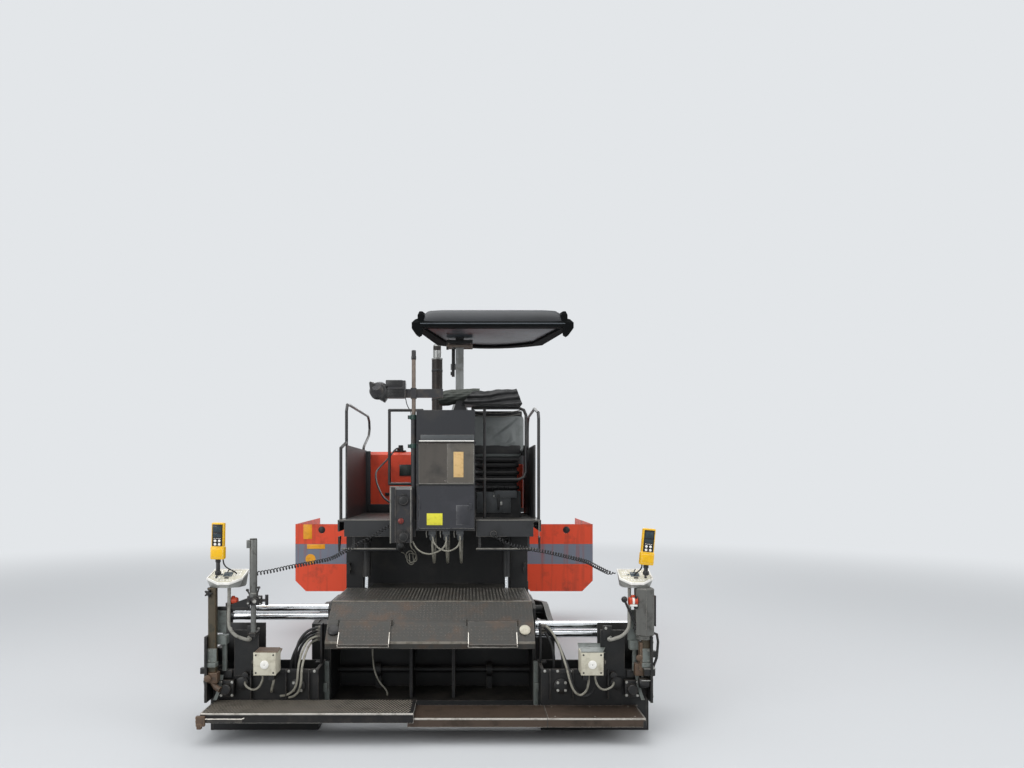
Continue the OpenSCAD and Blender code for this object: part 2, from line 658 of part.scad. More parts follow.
// Operator's deck with its skirts, side walls and the bar under the rear edge
wall_t = 12;
wall_rear = deck_rear + 175;
deck_x = [65 - tractor_w / 2, tractor_w / 2 - 5];
wall_x = [-wall_left - wall_t, wall_right];
socket_x = 450;
socket_z = 1232;
module deck() {
    notch0 = cabinet_x - 10;
    notch1 = cabinet_x + cabinet_w + 10;
    front = hood_rear - 2;
    color([0.25, 0.25, 0.26]) union() {
        difference() {
            block([deck_x[0], deck_rear, deck_z - 15], [deck_x[1], front, deck_z]);
            block([notch0, deck_rear - 1, deck_z - 40], [notch1, deck_rear + cabinet_d + 20, deck_z + 1]);
        }
        for (x = [deck_x[0], deck_x[1] - plate_t])
            block([x, deck_rear, deck_z - 90], [x + plate_t, front, deck_z - 15]);
        for (x = wall_x) {
            plate_x(x, wall_t, [[wall_rear, deck_z], [front, deck_z], [front, deck_z + wall_h],
                [wall_rear, deck_z + wall_h]]);
        }
        for (y = [frame_rear, frame_rear + 300, -80])
            block([deck_x[0] + plate_t, y, deck_z - 60], [deck_x[1] - plate_t, y + 60, deck_z - 15]);
        block([deck_x[0] + 50, deck_rear, deck_z - 130], [notch0, deck_rear + plate_t, deck_z - 15]);
        block([notch1, deck_rear, deck_z - 130], [deck_x[1] - 60, deck_rear + plate_t, deck_z - 15]);
        translate([socket_x, deck_rear + 1, socket_z]) rotate([90, 0, 0]) cylinder(h = 26, r = 24, $fn = 48);
        for (x = [cabinet_x + 40, cabinet_x + cabinet_w - 80])
            block([x, back_y + cabinet_d, deck_z - 60], [x + 40, frame_rear + 1, deck_z - 15]);
        for (x = [[-660, notch0 - 100], [notch1 + 6, 745]]) {
            axle(x[0], x[1], deck_rear + 40, 1107, 13);
            for (u = [x[0] + 20, x[1] - 20])
                block([u - 8, deck_rear + 32, 1107], [u + 8, deck_rear + 48, deck_z - 15]);
        }
    }
}

// Handrails: a bent tube on each side of the platform and a guard frame on each side of the cabinet
rail_r = 12;
rail_y = deck_rear + 40;
guard_y = -1000;
guard_top = 2234;
guard_low = 1655;
module bent(p, r) {
    for (i = [0:len(p) - 2]) {
        rod(p[i], p[i + 1], r);
        if (i < len(p) - 2) translate(p[i + 1]) sphere(r = r + 0.25, $fn = 48);
    }
}
module handrails() {
    xl = wall_x[0] + wall_t / 2;
    xr = wall_x[1] + wall_t + rail_r + seat_gap;
    top = deck_z + wall_h;
    color([0.1, 0.1, 0.1]) union() {
        bent([[xl - 20, rail_y, deck_z], [xl - 20, rail_y, top - 30], [xl, wall_rear + 8, top + 20]], rail_r);
        bent([[xl, wall_rear + 16, top], [xl, wall_rear + 16, 2200], [xl, wall_rear + 60, 2256],
            [xl, -900, 2266], [xl, 230, 2268], [xl, 325, 2226], [xl, 348, 2150], [xl, 290, 2080],
            [xl, -50, 1965], [xl, -80, 1945], [xl, -80, top]], rail_r);
        bent([[xr, rail_y, deck_z], [xr, rail_y, 2130], [xr, rail_y + 40, 2180], [xr, -850, 2242],
            [xr, -220, 2225], [xr, -130, 2180], [xr, -100, 2100], [xr, -100, deck_z]], rail_r);
        bent([[290, guard_y, deck_z], [290, guard_y, guard_top], [665, guard_y, guard_top],
            [705, guard_y, guard_top - 17], [722, guard_y, guard_top - 57], [722, guard_y, guard_low + 57],
            [705, guard_y, guard_low + 17], [665, guard_y, guard_low], [290, guard_y, guard_low]], rail_r);
        bent([[386, guard_y, guard_top], [386, guard_y, deck_z]], rail_r);
        bent([[-120, guard_y, deck_z], [-120, guard_y, guard_top - 18], [-386, guard_y, guard_top - 18],
            [-386, guard_y, guard_low - 37], [-120, guard_y, guard_low - 37]], rail_r);
    }
}

// Seat, its sprung mount on a console box, and the steering console ahead of it
seat_at = [495, -770];
seat_z = 1840;
mount_z = 1555;
module operator_seat() {
    x = seat_at.x;
    y = seat_at.y;
    color([0.45, 0.46, 0.48]) union() {
        hull() for (u = [-150, 150], v = [-20, 40]) translate([x + u, y + v, seat_z + 60])
            cylinder(h = 250, r = 45, $fn = 32);
        hull() for (u = [-170, 170], v = [20, 300]) translate([x + u, y + v, seat_z])
            cylinder(h = 90, r = 45, $fn = 32);
    }
}
module seat_mount() {
    x = seat_at.x;
    y = seat_at.y + 180;
    color([0.08, 0.08, 0.08]) union() {
        block([x - 230, y - 200, deck_z], [x + 200, y + 220, mount_z]);
        for (i = [0:4]) translate([x, y, mount_z + i * 52]) {
            block([-150, -150, 0], [150, 150, 26]);
            block([-130, -130, 26], [130, 130, 52]);
        }
        block([x - 190, y - 190, seat_z - 25], [x + 190, y + 210, seat_z - seat_gap]);
    }
}
module console() {
    color([0.2, 0.2, 0.21]) union() {
        plate_x(180, 520, [[-180, deck_z], [60, deck_z], [60, 1960], [0, 1990], [-180, 1860]]);
        rod([440, -100, 1900], [440, -240, 2010], 16);
        translate([440, -240, 2010]) rotate([52, 0, 0]) rotate_extrude($fn = 64)
            translate([150, 0]) circle(r = 14, $fn = 24);
        for (a = [0, 120, 240]) translate([440, -240, 2010]) rotate([52, 0, 0]) rotate([0, 0, a])
            translate([0, -8, -4]) cube([150, 16, 8]);
    }
}
tarp_r = 45;
tarp_low = guard_top + rail_r + tarp_r + seat_gap;
module tarp() {
    color([0.05, 0.05, 0.05]) hull() for (v = [-120, 120], w = [0, 60])
        axle(35, 685, guard_y + v, tarp_low + w, tarp_r);
}

// Electrical cabinet: an open-backed steel box with a drip edge, plugs below and two closing panels
lid_x0 = cabinet_x + 20;
lid_x1 = cabinet_x + cabinet_w - 8;
lid_z0 = 1620;
lid_z1 = 1935;
back_y = deck_rear - 40;
panel_t = 10;
hinge_line = back_y - 12;
hinge_pin_r = 6;
door_x = lid_x0 - 10;
plug_x = [-25, 83, 190];
module cabinet() {
    x1 = cabinet_x + cabinet_w;
    y1 = back_y + cabinet_d;
    z1 = cabinet_z + cabinet_h;
    color([0.2, 0.18, 0.17]) difference() {
        union() {
            block([cabinet_x, back_y, cabinet_z], [x1, y1, z1]);
            block([lid_x0 - 10, back_y - 30, lid_z1 + 12], [x1, back_y, lid_z1 + 18]);
            for (x = [lid_x0 - 16, lid_x1 + 2])
                block([x, hinge_line - 8, lid_z1 - 9], [x + 14, back_y, lid_z1 + 9]);
            for (z = [cabinet_z + 2, lid_z0 - 14])
                block([door_x - 10, hinge_line - 10, z], [door_x + 8, back_y, z + 12]);
            for (x = plug_x) translate([x, back_y + 60, cabinet_z - 80]) cylinder(h = 81, r = 19, $fn = 32);
        }
        block([lid_x0 + 10, back_y - 1, lid_z0 + 10], [lid_x1 - 10, y1 - cabinet_t, lid_z1 - 10]);
        block([lid_x0 + 10, back_y - 1, cabinet_z + 14], [lid_x1 - 10, y1 - cabinet_t, lid_z0 - 20]);
        axle(lid_x0 - 20, lid_x1 + 20, hinge_line, lid_z1, hinge_pin_r + pin_gap);
        translate([door_x, hinge_line, cabinet_z - 1])
            cylinder(h = lid_z0 - cabinet_z + 2, r = hinge_pin_r + pin_gap, $fn = 48);
    }
}
module cabinet_lid() {
    color([0.42, 0.38, 0.35]) difference() {
        union() {
            block([lid_x0, back_y - 2 - panel_t, lid_z0], [lid_x1, back_y - 2, lid_z1]);
            axle(lid_x0 - 14, lid_x1 + 12, hinge_line, lid_z1, hinge_pin_r);
        }
        block([lid_x0 + 200, back_y - 8 - panel_t, lid_z0 + 20],
            [lid_x0 + 250, back_y - panel_t, lid_z0 + 28]);
    }
}
module cabinet_door() {
    color([0.12, 0.12, 0.13]) union() {
        block([lid_x0, back_y - 2 - panel_t, cabinet_z + 18], [lid_x1, back_y - 2, lid_z0 - 18]);
        translate([door_x, hinge_line, cabinet_z + 3])
            cylinder(h = lid_z0 - cabinet_z - 6, r = hinge_pin_r, $fn = 48);
        for (z = [cabinet_z + 20, lid_z0 - 80])
            block([door_x, hinge_line - 3, z], [lid_x0 + 1, hinge_line + 7, z + 60]);
        block([lid_x1 - 40, back_y - 20 - panel_t, 1430], [lid_x1 - 20, back_y - 2 - panel_t, 1470]);
    }
}

// Service mast: socket box with its sloped lid, telescopic tube with clamps, lamp arm and both lamps
box_x = [-305, -178];
box_z = [1170, 1598];
mast_x = -170;
mast_joint = 2140;
mast_top = 2657;
arm_z = [2290, 2357];
lamp_x = [-369, -232];
lamp_z = 2350;
module service_mast() {
    y = deck_rear - 20;
    tube_y = y + 36;
    color([0.13, 0.13, 0.13]) union() {
        plate_x(box_x[0], box_x[1] - box_x[0], [[y - 60, box_z[0]], [y + 20, box_z[0]], [y + 20, box_z[1]],
            [y - 60, box_z[1] - 22]]);
        for (z = [1215, 1495]) translate([-242, y - 59, z]) rotate([90, 0, 0])
            cylinder(h = 23, r = 34, $fn = 48);
        for (x = box_x) block([x - 4, y - 68, box_z[0] + 6], [x + 4, y - 50, box_z[1] - 22]);
        translate([mast_x, tube_y, deck_z]) cylinder(h = mast_joint - deck_z, r = 22, $fn = 48);
        translate([mast_x, tube_y, mast_joint]) cylinder(h = mast_top - mast_joint, r = 15, $fn = 48);
        translate([mast_x, tube_y, mast_top - 70]) cylinder(h = 70, r = 17, $fn = 48);
        for (z = [1895, mast_joint - 20]) {
            translate([mast_x, tube_y, z]) cylinder(h = 36, r = 23.8, $fn = 48);
            block([mast_x - 46, tube_y - 9, z + 4], [mast_x, tube_y + 9, z + 32]);
        }
        block([lamp_x[0], tube_y - 13, arm_z[0]], [58, tube_y + 13, arm_z[1]]);
        block([mast_x - 22, tube_y - 22, arm_z[0] - 8], [mast_x + 22, tube_y + 22, arm_z[1] + 8]);
        plate_x(lamp_x[0], lamp_x[1] - lamp_x[0], [[tube_y - 40, lamp_z - 68], [tube_y + 40, lamp_z - 56],
            [tube_y + 40, lamp_z + 50], [tube_y + 10, lamp_z + 70], [tube_y - 40, lamp_z + 70]]);
        translate([lamp_x[0] - 70, tube_y + 10, lamp_z - 12]) rotate([65, 0, -12]) {
            cylinder(h = 30, r = 72, $fn = 64);
            translate([0, 0, 30]) cylinder(h = 50, r1 = 72, r2 = 34, $fn = 64);
        }
        block([lamp_x[0] - 30, tube_y - 10, lamp_z - 20], [lamp_x[0] + 1, tube_y + 10, lamp_z + 10]);
    }
}

// Canopy: a square mast with a cone foot, and the moulded roof whose hollow shell narrows to a bowed front
// edge, with a lip all round, a rounded rib along each side and a hooked lug at both rear corners
mast_at = [178, -475];
canopy_bow = 180;
canopy_skin = 22;
canopy_rear = deck_rear + 200;
levels = [[0, 34], [25, 64], [150, canopy_rise]];
rib_in = 73;
rib_r = 28;
module canopy_mast() {
    color("silver") union() {
        block([mast_at.x - mast_half, mast_at.y - mast_half, deck_z],
            [mast_at.x + mast_half, mast_at.y + mast_half, canopy_z + canopy_rise - canopy_skin]);
        translate([mast_at.x, mast_at.y, 2240]) cylinder(h = 110, r1 = 80, r2 = 48, $fn = 48);
        block([mast_at.x - 113, mast_at.y - 60, canopy_z - 40],
            [mast_at.x + 113, mast_at.y + 60, canopy_z - 10]);
        for (u = [-95, 95]) translate([mast_at.x + u, mast_at.y - 45, canopy_z - 48])
            cylinder(h = 46, r = 8, $fn = 24);
        block([mast_at.x - mast_half - 36, mast_at.y - 20, canopy_z - 60],
            [mast_at.x - mast_half - 4, mast_at.y + 12, canopy_z - 39]);
        translate([mast_at.x - mast_half - 20, mast_at.y - 4, canopy_z - 260])
            cylinder(h = 210, r = 15, $fn = 32);
        block([mast_at.x - mast_half - 44, mast_at.y - 22, canopy_z - 262],
            [mast_at.x - mast_half, mast_at.y + 14, canopy_z - 212]);
    }
}
module canopy_plan(inset, z, t) {
    h = canopy_w / 2 - inset;
    f = canopy_front / 2 - inset;
    y1 = canopy_rear + canopy_d - canopy_bow - inset;
    translate([canopy_x, 0, canopy_z + z]) linear_extrude(t)
        polygon(concat([[-h, canopy_rear + inset], [h, canopy_rear + inset]],
            [for (i = [0:10]) let (u = 1 - i / 5) [f * u, y1 + canopy_bow * (1 - u * u)]]));
}
module canopy() {
    h = canopy_w / 2;
    color([0.07, 0.07, 0.08]) difference() {
        union() {
            hull() {
                canopy_plan(0, 0, levels[0][1]);
                canopy_plan(levels[1][0], 0, levels[1][1]);
                canopy_plan(levels[2][0], 0, levels[2][1]);
            }
            for (s = [-1, 1]) {
                hull() for (e = [[h - rib_in, canopy_rear + 32], [canopy_front / 2 - rib_in,
                    canopy_rear + canopy_d - canopy_bow - 40]])
                    translate([canopy_x + s * e[0], e[1], canopy_z + 20]) {
                        cylinder(h = canopy_rise - 50, r = rib_r, $fn = 32);
                        translate([0, 0, canopy_rise - 50])
                            cylinder(h = 28, r1 = rib_r - 1, r2 = 14, $fn = 32);
                    }
                plate_y(canopy_rear, 60, [[canopy_x + s * h, canopy_z + 1],
                    [canopy_x + s * (h - 88), canopy_z + 1],
                    [canopy_x + s * (h - 80), canopy_z - 62], [canopy_x + s * (h - 58), canopy_z - 74],
                    [canopy_x + s * (h - 36), canopy_z - 60], [canopy_x + s * h, canopy_z - 10]]);
            }
        }
        hull() {
            canopy_plan(90, -1, 2);
            canopy_plan(100, -1, 50);
            canopy_plan(170, -1, canopy_rise - canopy_skin + 1);
        }
    }
}

// Tow arms with the stubs that the lift cylinders hold
arm_x = tractor_w / 2 + 2 * move_gap + 8;
module tow_arms() {
    color([0.14, 0.14, 0.14]) union() for (s = [left, right]) difference() {
        union() {
            x0 = s > 0 ? arm_x : -arm_x - arm_w;
            plate_x(x0, arm_w, [[tow_y + 60, tow_z - 50], [tow_y + 60, tow_z + 50], [tow_y - 100, tow_z + 70],
                [lift_eye.x + 60, lift_eye.y + 50], [lift_eye.x - 60, lift_eye.y + 50], [-1460, 620],
                [-1640, 600], [-1640, 330], [-1460, 330], [lift_eye.x, lift_eye.y - 90],
                [tow_y - 100, tow_z - 70]]);
            side_block(s, [screed_half, -1640, 330], [arm_x, -1460, 600]);
            side_axle(s, lift_x + lift_half + 12, arm_x, lift_eye.x, lift_eye.y, 32);
            side_block(s, [lift_x + lift_half + 4, lift_eye.x - 45, lift_eye.y - 45],
                [lift_x + lift_half + 14, lift_eye.x + 45, lift_eye.y + 45]);
        }
        side_axle(s, arm_x - 1, arm_x + arm_w + 1, tow_y, tow_z, tow_r + pin_gap);
    }
}

// Basic screed: sole box, front wall and top beam open to the rear, the tamper shaft in its bearings, end
// plates and inner plates bored for the guide tubes
screed_front = screed_rear + screed_d;
guide_zs = [742, 682, 620, 558];
end_t = 20;
end_top = walk_z - tread_t - 4;
shaft_at = [screed_front - 110, 250];
module main_screed() {
    inner = screed_half - end_t;
    color([0.11, 0.11, 0.12]) union() {
        block([-inner, screed_rear, 0], [inner, screed_front, sole_h]);
        block([-inner, screed_front - 40, 0], [inner, screed_front, screed_h]);
        block([-inner, screed_rear + 60, screed_h - 50], [inner, screed_front, screed_h]);
        axle(-inner, inner, shaft_at.x, shaft_at.y, 24);
        for (x = [-430, 390]) {
            axle(x, x + 40, shaft_at.x, shaft_at.y, 52);
            block([x, shaft_at.x, sole_h - 1], [x + 40, screed_front - 39, shaft_at.y + 20]);
        }
        for (x = [-screed_half, -160, 140, inner]) difference() {
            y0 = abs(x) < 200 ? screed_rear + 60 : screed_rear;
            plate_x(x, end_t, [[y0, 0], [screed_front, 0], [screed_front, end_top],
                [screed_rear + 40, end_top],
                [screed_rear, end_top - 34], [screed_rear, screed_h], [y0, screed_h - 50]]);
            for (z = guide_zs) axle(x - 1, x + end_t + 1, guide_y, z, guide_r + 0.5);
        }
    }
}

// Walkway cover over the basic screed: tread plate, two facets and a lip, with ears for both steps
walk_half = 700;
walk_front = -1160;
walk_rear = -2125;
facet = [[-1825, walk_z], [-2025, 680], [walk_rear, 570], [walk_rear, 525]];
step_pin_r = 6;
steps = [[-615, -270], [253, 583]];
hinge_at = [-2030, 690];
module walkway() {
    color([0.3, 0.27, 0.25]) difference() {
        union() {
            plate_x(-walk_half, 2 * walk_half, concat([[walk_front, walk_z]], facet,
                [[walk_rear + tread_t, 525], [walk_rear + tread_t, 573], [facet[1].x + 3, facet[1].y - 9],
                [facet[0].x + 2, walk_z - tread_t], [walk_front, walk_z - tread_t]]));
            for (x = [4 - walk_half, walk_half - 12])
                block([x, screed_front - 200, end_top], [x + 8, screed_front - 60, walk_z - tread_t]);
            for (b = steps) for (x = [b[0] - 14, b[1] + 2])
                block([x, hinge_at.x - 12, hinge_at.y - 22], [x + 12, hinge_at.x + 12, hinge_at.y + 12]);
        }
        for (b = steps) axle(b[0] - 20, b[1] + 20, hinge_at.x, hinge_at.y, step_pin_r + pin_gap);
    }
}
module step(b) {
    slope = atan2(110, 100);
    color([0.3, 0.27, 0.25]) union() {
        axle(b[0] - 10, b[1] + 10, hinge_at.x, hinge_at.y, step_pin_r);
        translate([b[0], hinge_at.x, hinge_at.y]) rotate([slope, 0, 0]) {
            translate([0, -190, -5]) cube([b[1] - b[0], 186, 10]);
            translate([0, -190, -5]) cube([b[1] - b[0], 8, 18]);
        }
    }
}
module step_left() { step(steps[0]); }
module step_right() { step(steps[1]); }

// Screed extension: open box with its sole, end plate, guide bracket and junction box
ext_rear = screed_rear - 20 - ext_d;
ext_front = screed_rear - 20;
ext_inner = screed_half + 10;
plate_w = 15;
hole_r = 9;
hole_at = [-1700, 150];
hole_dy = 200;
hole_dz = 100;
bracket_x = [1125, 1285];
bracket_h = 262;
pole_at = [1138, -2262];
module extension(side) {
    top = side < 0 ? guide_zs[0] : guide_zs[2];
    low = side < 0 ? guide_zs[1] : guide_zs[3];
    color([0.13, 0.13, 0.13]) difference() {
        extension_solid(side, top, low);
        for (y = [-hole_dy / 2, hole_dy / 2], z = [-hole_dz / 2, hole_dz / 2])
            side_axle(side, ext_outer - 1, ext_outer + plate_w + 1, hole_at.x + y, hole_at.y + z, hole_r);
    }
}
module extension_solid(side, top, low) {
    union() {
        difference() {
            side_block(side, [ext_inner, ext_rear, 0], [ext_outer, ext_front, ext_h]);
            side_block(side, [ext_inner + 20, ext_rear + 14, 40],
                [ext_outer - 20, ext_front - 14, ext_h + 1]);
        }
        x0 = side > 0 ? ext_outer : -ext_outer - plate_w;
        plate_x(x0, plate_w, [[-1560, 0], [-1500, 60], [-1500, 280], [-1690, 300], [-1735, 360],
            [-1735, top + guide_r + 14], [-1850, top + guide_r + 14], [-1950, 520], [-2150, 520],
            [-2180, 640], [-2300, 640], [-2300, 215], [-2172, 215], [-2172, 0]]);
        side_block(side, [ext_outer + plate_w, guide_y - 38, low - guide_r - 12],
            [ext_outer + 2 * plate_w, guide_y + 38, top + guide_r + 12]);
        side_block(side, [980, ext_rear - 150, ext_h], [1120, ext_rear - 20, ext_h + 142]);
        side_block(side, [1000, ext_rear - 20, ext_h - 30], [1100, ext_rear + 10, ext_h + 90]);
        side_block(side, [bracket_x[0], ext_rear - 16, ext_h - 40],
            [bracket_x[1], ext_rear - 6, ext_h + bracket_h]);
        side_block(side, [bracket_x[0], ext_rear - 16, ext_h - 40], [bracket_x[1], ext_rear, ext_h - 10]);
        if (side < 0) side_pole();
    }
}

// Pole on the left extension with its foot, collar, valve block and T-handle
module side_pole() {
    foot_z = ext_h + bracket_h - 22;
    block([-pole_at.x - 22, pole_at.y - 26, foot_z], [-pole_at.x + 18, ext_rear - 10, foot_z + 20]);
    translate([-pole_at.x, pole_at.y, foot_z]) cylinder(h = 1270 - foot_z, r = 16, $fn = 48);
    translate([-pole_at.x, pole_at.y, 900]) cylinder(h = 370, r = 23, $fn = 48);
    block([-pole_at.x - 34, pole_at.y - 20, 845], [-pole_at.x + 52, pole_at.y + 24, 895]);
    rod([-pole_at.x + 40, pole_at.y, 870], [-1052, pole_at.y, 870], 9);
    rod([-1052, pole_at.y, 842], [-1052, pole_at.y, 902], 10);
    translate([-pole_at.x + 20, pole_at.y - 19, 870]) rotate([90, 0, 0]) cylinder(h = 22, r = 17, $fn = 32);
}
module extension_left() { extension(left); }
module extension_right() { extension(right); }

module guide_tubes(side) {
    zs = side < 0 ? [guide_zs[0], guide_zs[1]] : [guide_zs[2], guide_zs[3]];
    color("silver") union() for (z = zs)
        side_axle(side, 60, ext_outer, guide_y, z, guide_r);
}
module guide_tubes_left() { guide_tubes(left); }
module guide_tubes_right() { guide_tubes(right); }

// Footboards: the left one runs over the right one
board_front = ext_rear - 6;
module footboard(side, x0, x1, top, rear, lip) {
    color(side < 0 ? [0.12, 0.12, 0.12] : [0.36, 0.28, 0.22]) union() {
        side_block(side, [x0, rear, top - board_t], [x1, board_front, top]);
        side_block(side, [x0, rear, top - lip], [x1, rear + 8, top]);
        for (x = [ext_inner + 60, ext_outer - 160])
            side_block(side, [x, board_front, top - board_t], [x + 100, ext_rear, top]);
    }
}
module footboard_left() { footboard(left, 85, 1410, 200, board_front - board_d, 60); }
module footboard_right() { footboard(right, -125, 1360, 165, board_front - board_d + 15, 55); }

// Control stand on each end plate: spindle post (square on the left, hexagonal on the right) with its knob or
// lever, tray with a display hood, and a short post for the handset
stand_y = -2250;
tray_z = [950, 1060];
tray_in = [1190, 1230];
handset_x = [1320, 1360];
handset_z = [1137, 1100];
column_r = 68;
module panel(side) {
    k = side < 0 ? 0 : 1;
    post0 = ext_outer - 50;
    tray0 = tray_in[k];
    mid = handset_x[k] + 48;
    color("silver") union() {
        side_block(side, [post0, stand_y - 25, 405], [ext_outer, stand_y + 25, tray_z[0]]);
        plate_y(stand_y - 40, 150, [[side * tray0, tray_z[0] + 35], [side * (tray0 + 30), tray_z[0]],
            [side * 1430, tray_z[0]], [side * 1460, tray_z[0] + 35], [side * 1450, tray_z[1]],
            [side * (tray0 + 10), tray_z[1]]]);
        side_block(side, [mid - 12, stand_y - 20, tray_z[1] - 1], [mid + 12, stand_y + 4, handset_z[k]]);
        if (side < 0) {
            translate([-1422, stand_y - 24, 918]) rotate([90, 0, 0]) linear_extrude(26)
                polygon([for (a = [0:19]) (a % 4 < 2 ? 29 : 22) * [cos(a * 18), sin(a * 18)]]);
            side_block(side, [post0 - 8, stand_y - 33, 470], [ext_outer, stand_y - 24, 560]);
        } else {
            translate([post0 + 18, stand_y, 642]) rotate([0, 0, 30]) cylinder(h = 309, r = column_r, $fn = 6);
            rod([1346, stand_y - 20, 700], [1262, stand_y - 40, 872], 8);
            translate([1262, stand_y - 40, 880]) sphere(r = 20, $fn = 32);
            translate([1290, stand_y - 30, 868]) rotate([0, 90, 0]) cylinder(h = 60, r = 26, $fn = 48);
            side_block(side, [post0 - 8, stand_y - 33, 470], [ext_outer, stand_y - 24, 560]);
        }
    }
}
module panel_left() { panel(left); }
module panel_right() { panel(right); }
module handset(side) {
    k = side < 0 ? 0 : 1;
    x = handset_x[k];
    z = handset_z[k];
    color("gold") union() {
        side_block(side, [x, stand_y - 34, z + 23], [x + 97, stand_y + 16, z + 236]);
        side_block(side, [x + 10, stand_y - 38, z], [x + 87, stand_y + 20, z + 23]);
    }
}
module handset_left() { handset(left); }
module handset_right() { handset(right); }

// Harness on each extension: a pale conduit loop and two leads from the junction box
conduit = [[1310, -2215, 949.5], [1310, -2215, 890], [1310, -2218, 830], [1308, -2234, 760],
    [1300, -2242, 690], [1262, -2242, 640], [1205, -2238, 615], [1180, -2224, 606], [1180, -2204, 605],
    [1180, -2186.3, 605]];
lead = [[1080, -2255, 399.6], [1080, -2255, 380], [1080, -2256, 355], [1100, -2258, 310], [1140, -2245, 285],
    [1190, -2220, 295], [1210, -2206, 318], [1210, -2190, 320], [1210, -2170.4, 320]];
module harness(side) {
    color("lightgray") union() {
        tube(smooth(flip(conduit, side), 3), 12);
        tube(smooth(flip(lead, side), 3), 8);
    }
}
module harness_left() { harness(left); }
module harness_right() { harness(right); }

// Coiled leads from the handset stands to the sockets, each in two lengths
coil_r = 14;
coil_steps = 5;
coil_cut = 20;
coil_left = [[-1180, -2210, 1040], [-1140, -2180, 1034], [-1060, -2090, 1040], [-965, -1975, 1054],
    [-860, -1830, 1064], [-750, -1675, 1078], [-690, -1570, 1105], [-625, -1475, 1140],
    [-555, -1400, 1178], [-480, -1355, 1217], [-400, -1335, 1270], [-352, -1331, 1297],
    [-328.6, -1330, 1300], [-305.3, -1330, 1300]];
coil_right = [[1220, -2210, 1040], [1180, -2170, 1040], [1125, -2050, 1062], [1070, -1900, 1085],
    [960, -1740, 1102], [840, -1600, 1120], [700, -1475, 1135], [600, -1410, 1152],
    [520, -1380, 1182], [470, -1366, 1214], [452, -1343, 1230], [450, -1320, 1232], [450, -1300.3, 1232]];
module coil(route, first, last) {
    p = smooth(route, coil_steps);
    shift = first == 0 ? -0.2 : 0.2;
    color([0.06, 0.06, 0.06])
        swept([for (i = [first:last]) i == coil_cut ? p[i] + shift * heading(p, i) : p[i]],
        [for (i = [first:last]) heading(p, i)], coil_r, 8);
}
module coil_outer_left() { coil(coil_left, 0, coil_cut); }
module coil_inner_left() { coil(coil_left, coil_cut, coil_steps * (len(coil_left) - 1)); }
module coil_outer_right() { coil(coil_right, 0, coil_cut); }
module coil_inner_right() { coil(coil_right, coil_cut, coil_steps * (len(coil_right) - 1)); }

// Cables that loop from the cabinet's plugs back under the deck
module cabinet_cables() {
    color([0.06, 0.06, 0.06]) union() for (x = plug_x) {
        p = [[x, -1255, cabinet_z - 80.5], [x, -1255, 1130], [x + 5, -1235, 1050], [x + 8, -1165, 1000],
            [x + 10, -1090, 1000], [x + 12, -1045, 1050], [x + 15, -1025, 1150], [x + 15, -1020, 1240],
            [x + 15, -1016, 1279.5]];
        tube(smooth(p, 4), 9);
    }
}

chassis();
track_left();
track_right();
track_frame_left();
track_frame_right();
engine_block();
engine_hood();
exhaust();
hopper_pan();
conveyor();
deck();
handrails();
operator_seat();
seat_mount();
console();
tarp();
cabinet();
service_mast();
canopy_mast();
canopy();
cabinet_cables();
cabinet_lid();
cabinet_door();
auger_left();
auger_right();
push_beam();
push_roller_left();
push_roller_right();
hopper_wing_left();
hopper_wing_right();
wing_barrel_left();
wing_barrel_right();
wing_rod_left();
wing_rod_right();
lift_barrel_left();
lift_barrel_right();
lift_rod_left();
lift_rod_right();
tow_arms();
main_screed();
walkway();
step_left();
step_right();
extension_left();
extension_right();
guide_tubes_left();
guide_tubes_right();
footboard_left();
footboard_right();
panel_left();
panel_right();
handset_left();
handset_right();
harness_left();
harness_right();
coil_inner_left();
coil_inner_right();
coil_outer_left();
coil_outer_right();
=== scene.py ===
"""A compact crawler asphalt paver seen from behind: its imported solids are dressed, section by section, in the
order in which the machine is put together. Lengths are metres; X is right, Y ahead, Z up from the ground."""

import bpy
import numpy as np
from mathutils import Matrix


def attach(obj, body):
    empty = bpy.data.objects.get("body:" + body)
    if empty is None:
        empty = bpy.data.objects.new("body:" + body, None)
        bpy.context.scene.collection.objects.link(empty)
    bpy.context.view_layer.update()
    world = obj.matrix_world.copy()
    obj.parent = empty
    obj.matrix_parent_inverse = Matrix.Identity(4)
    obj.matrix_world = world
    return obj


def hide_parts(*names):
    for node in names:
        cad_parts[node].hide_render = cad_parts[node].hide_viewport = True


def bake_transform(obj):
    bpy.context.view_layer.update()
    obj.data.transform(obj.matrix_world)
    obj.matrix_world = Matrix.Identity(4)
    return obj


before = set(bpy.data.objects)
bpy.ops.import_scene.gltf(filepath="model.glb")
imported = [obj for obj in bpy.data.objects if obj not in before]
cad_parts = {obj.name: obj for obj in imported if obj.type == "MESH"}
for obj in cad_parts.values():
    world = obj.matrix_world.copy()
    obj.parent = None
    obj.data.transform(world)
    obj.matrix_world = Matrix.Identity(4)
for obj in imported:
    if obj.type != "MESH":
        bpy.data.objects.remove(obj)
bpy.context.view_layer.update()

# Studio. A level camera stands behind the machine at eye height; the photograph's centre lies beside and above
# its straight-ahead point, which the small lens shift reproduces. Floor and world are plain and pale.
scene = bpy.context.scene
scene.view_settings.view_transform = "Standard"
lens = bpy.data.cameras.new("camera")
frame_wide, frame_high = 1024, 768
focal, ahead_x, ahead_y = 773, 469, 480  # pixels: focal length, and the point straight ahead of the lens
lens.sensor_width = 36.0
lens.lens = 36.0 * focal / frame_wide
lens.shift_x = (frame_wide / 2 - ahead_x) / frame_wide
lens.shift_y = (ahead_y - frame_high / 2) / frame_wide
lens.clip_end = 200.0
camera = bpy.data.objects.new("camera", lens)
camera.location = (0.26, -7.275, 1.65)
camera.rotation_euler = (np.radians(90), 0, 0)
scene.collection.objects.link(camera)
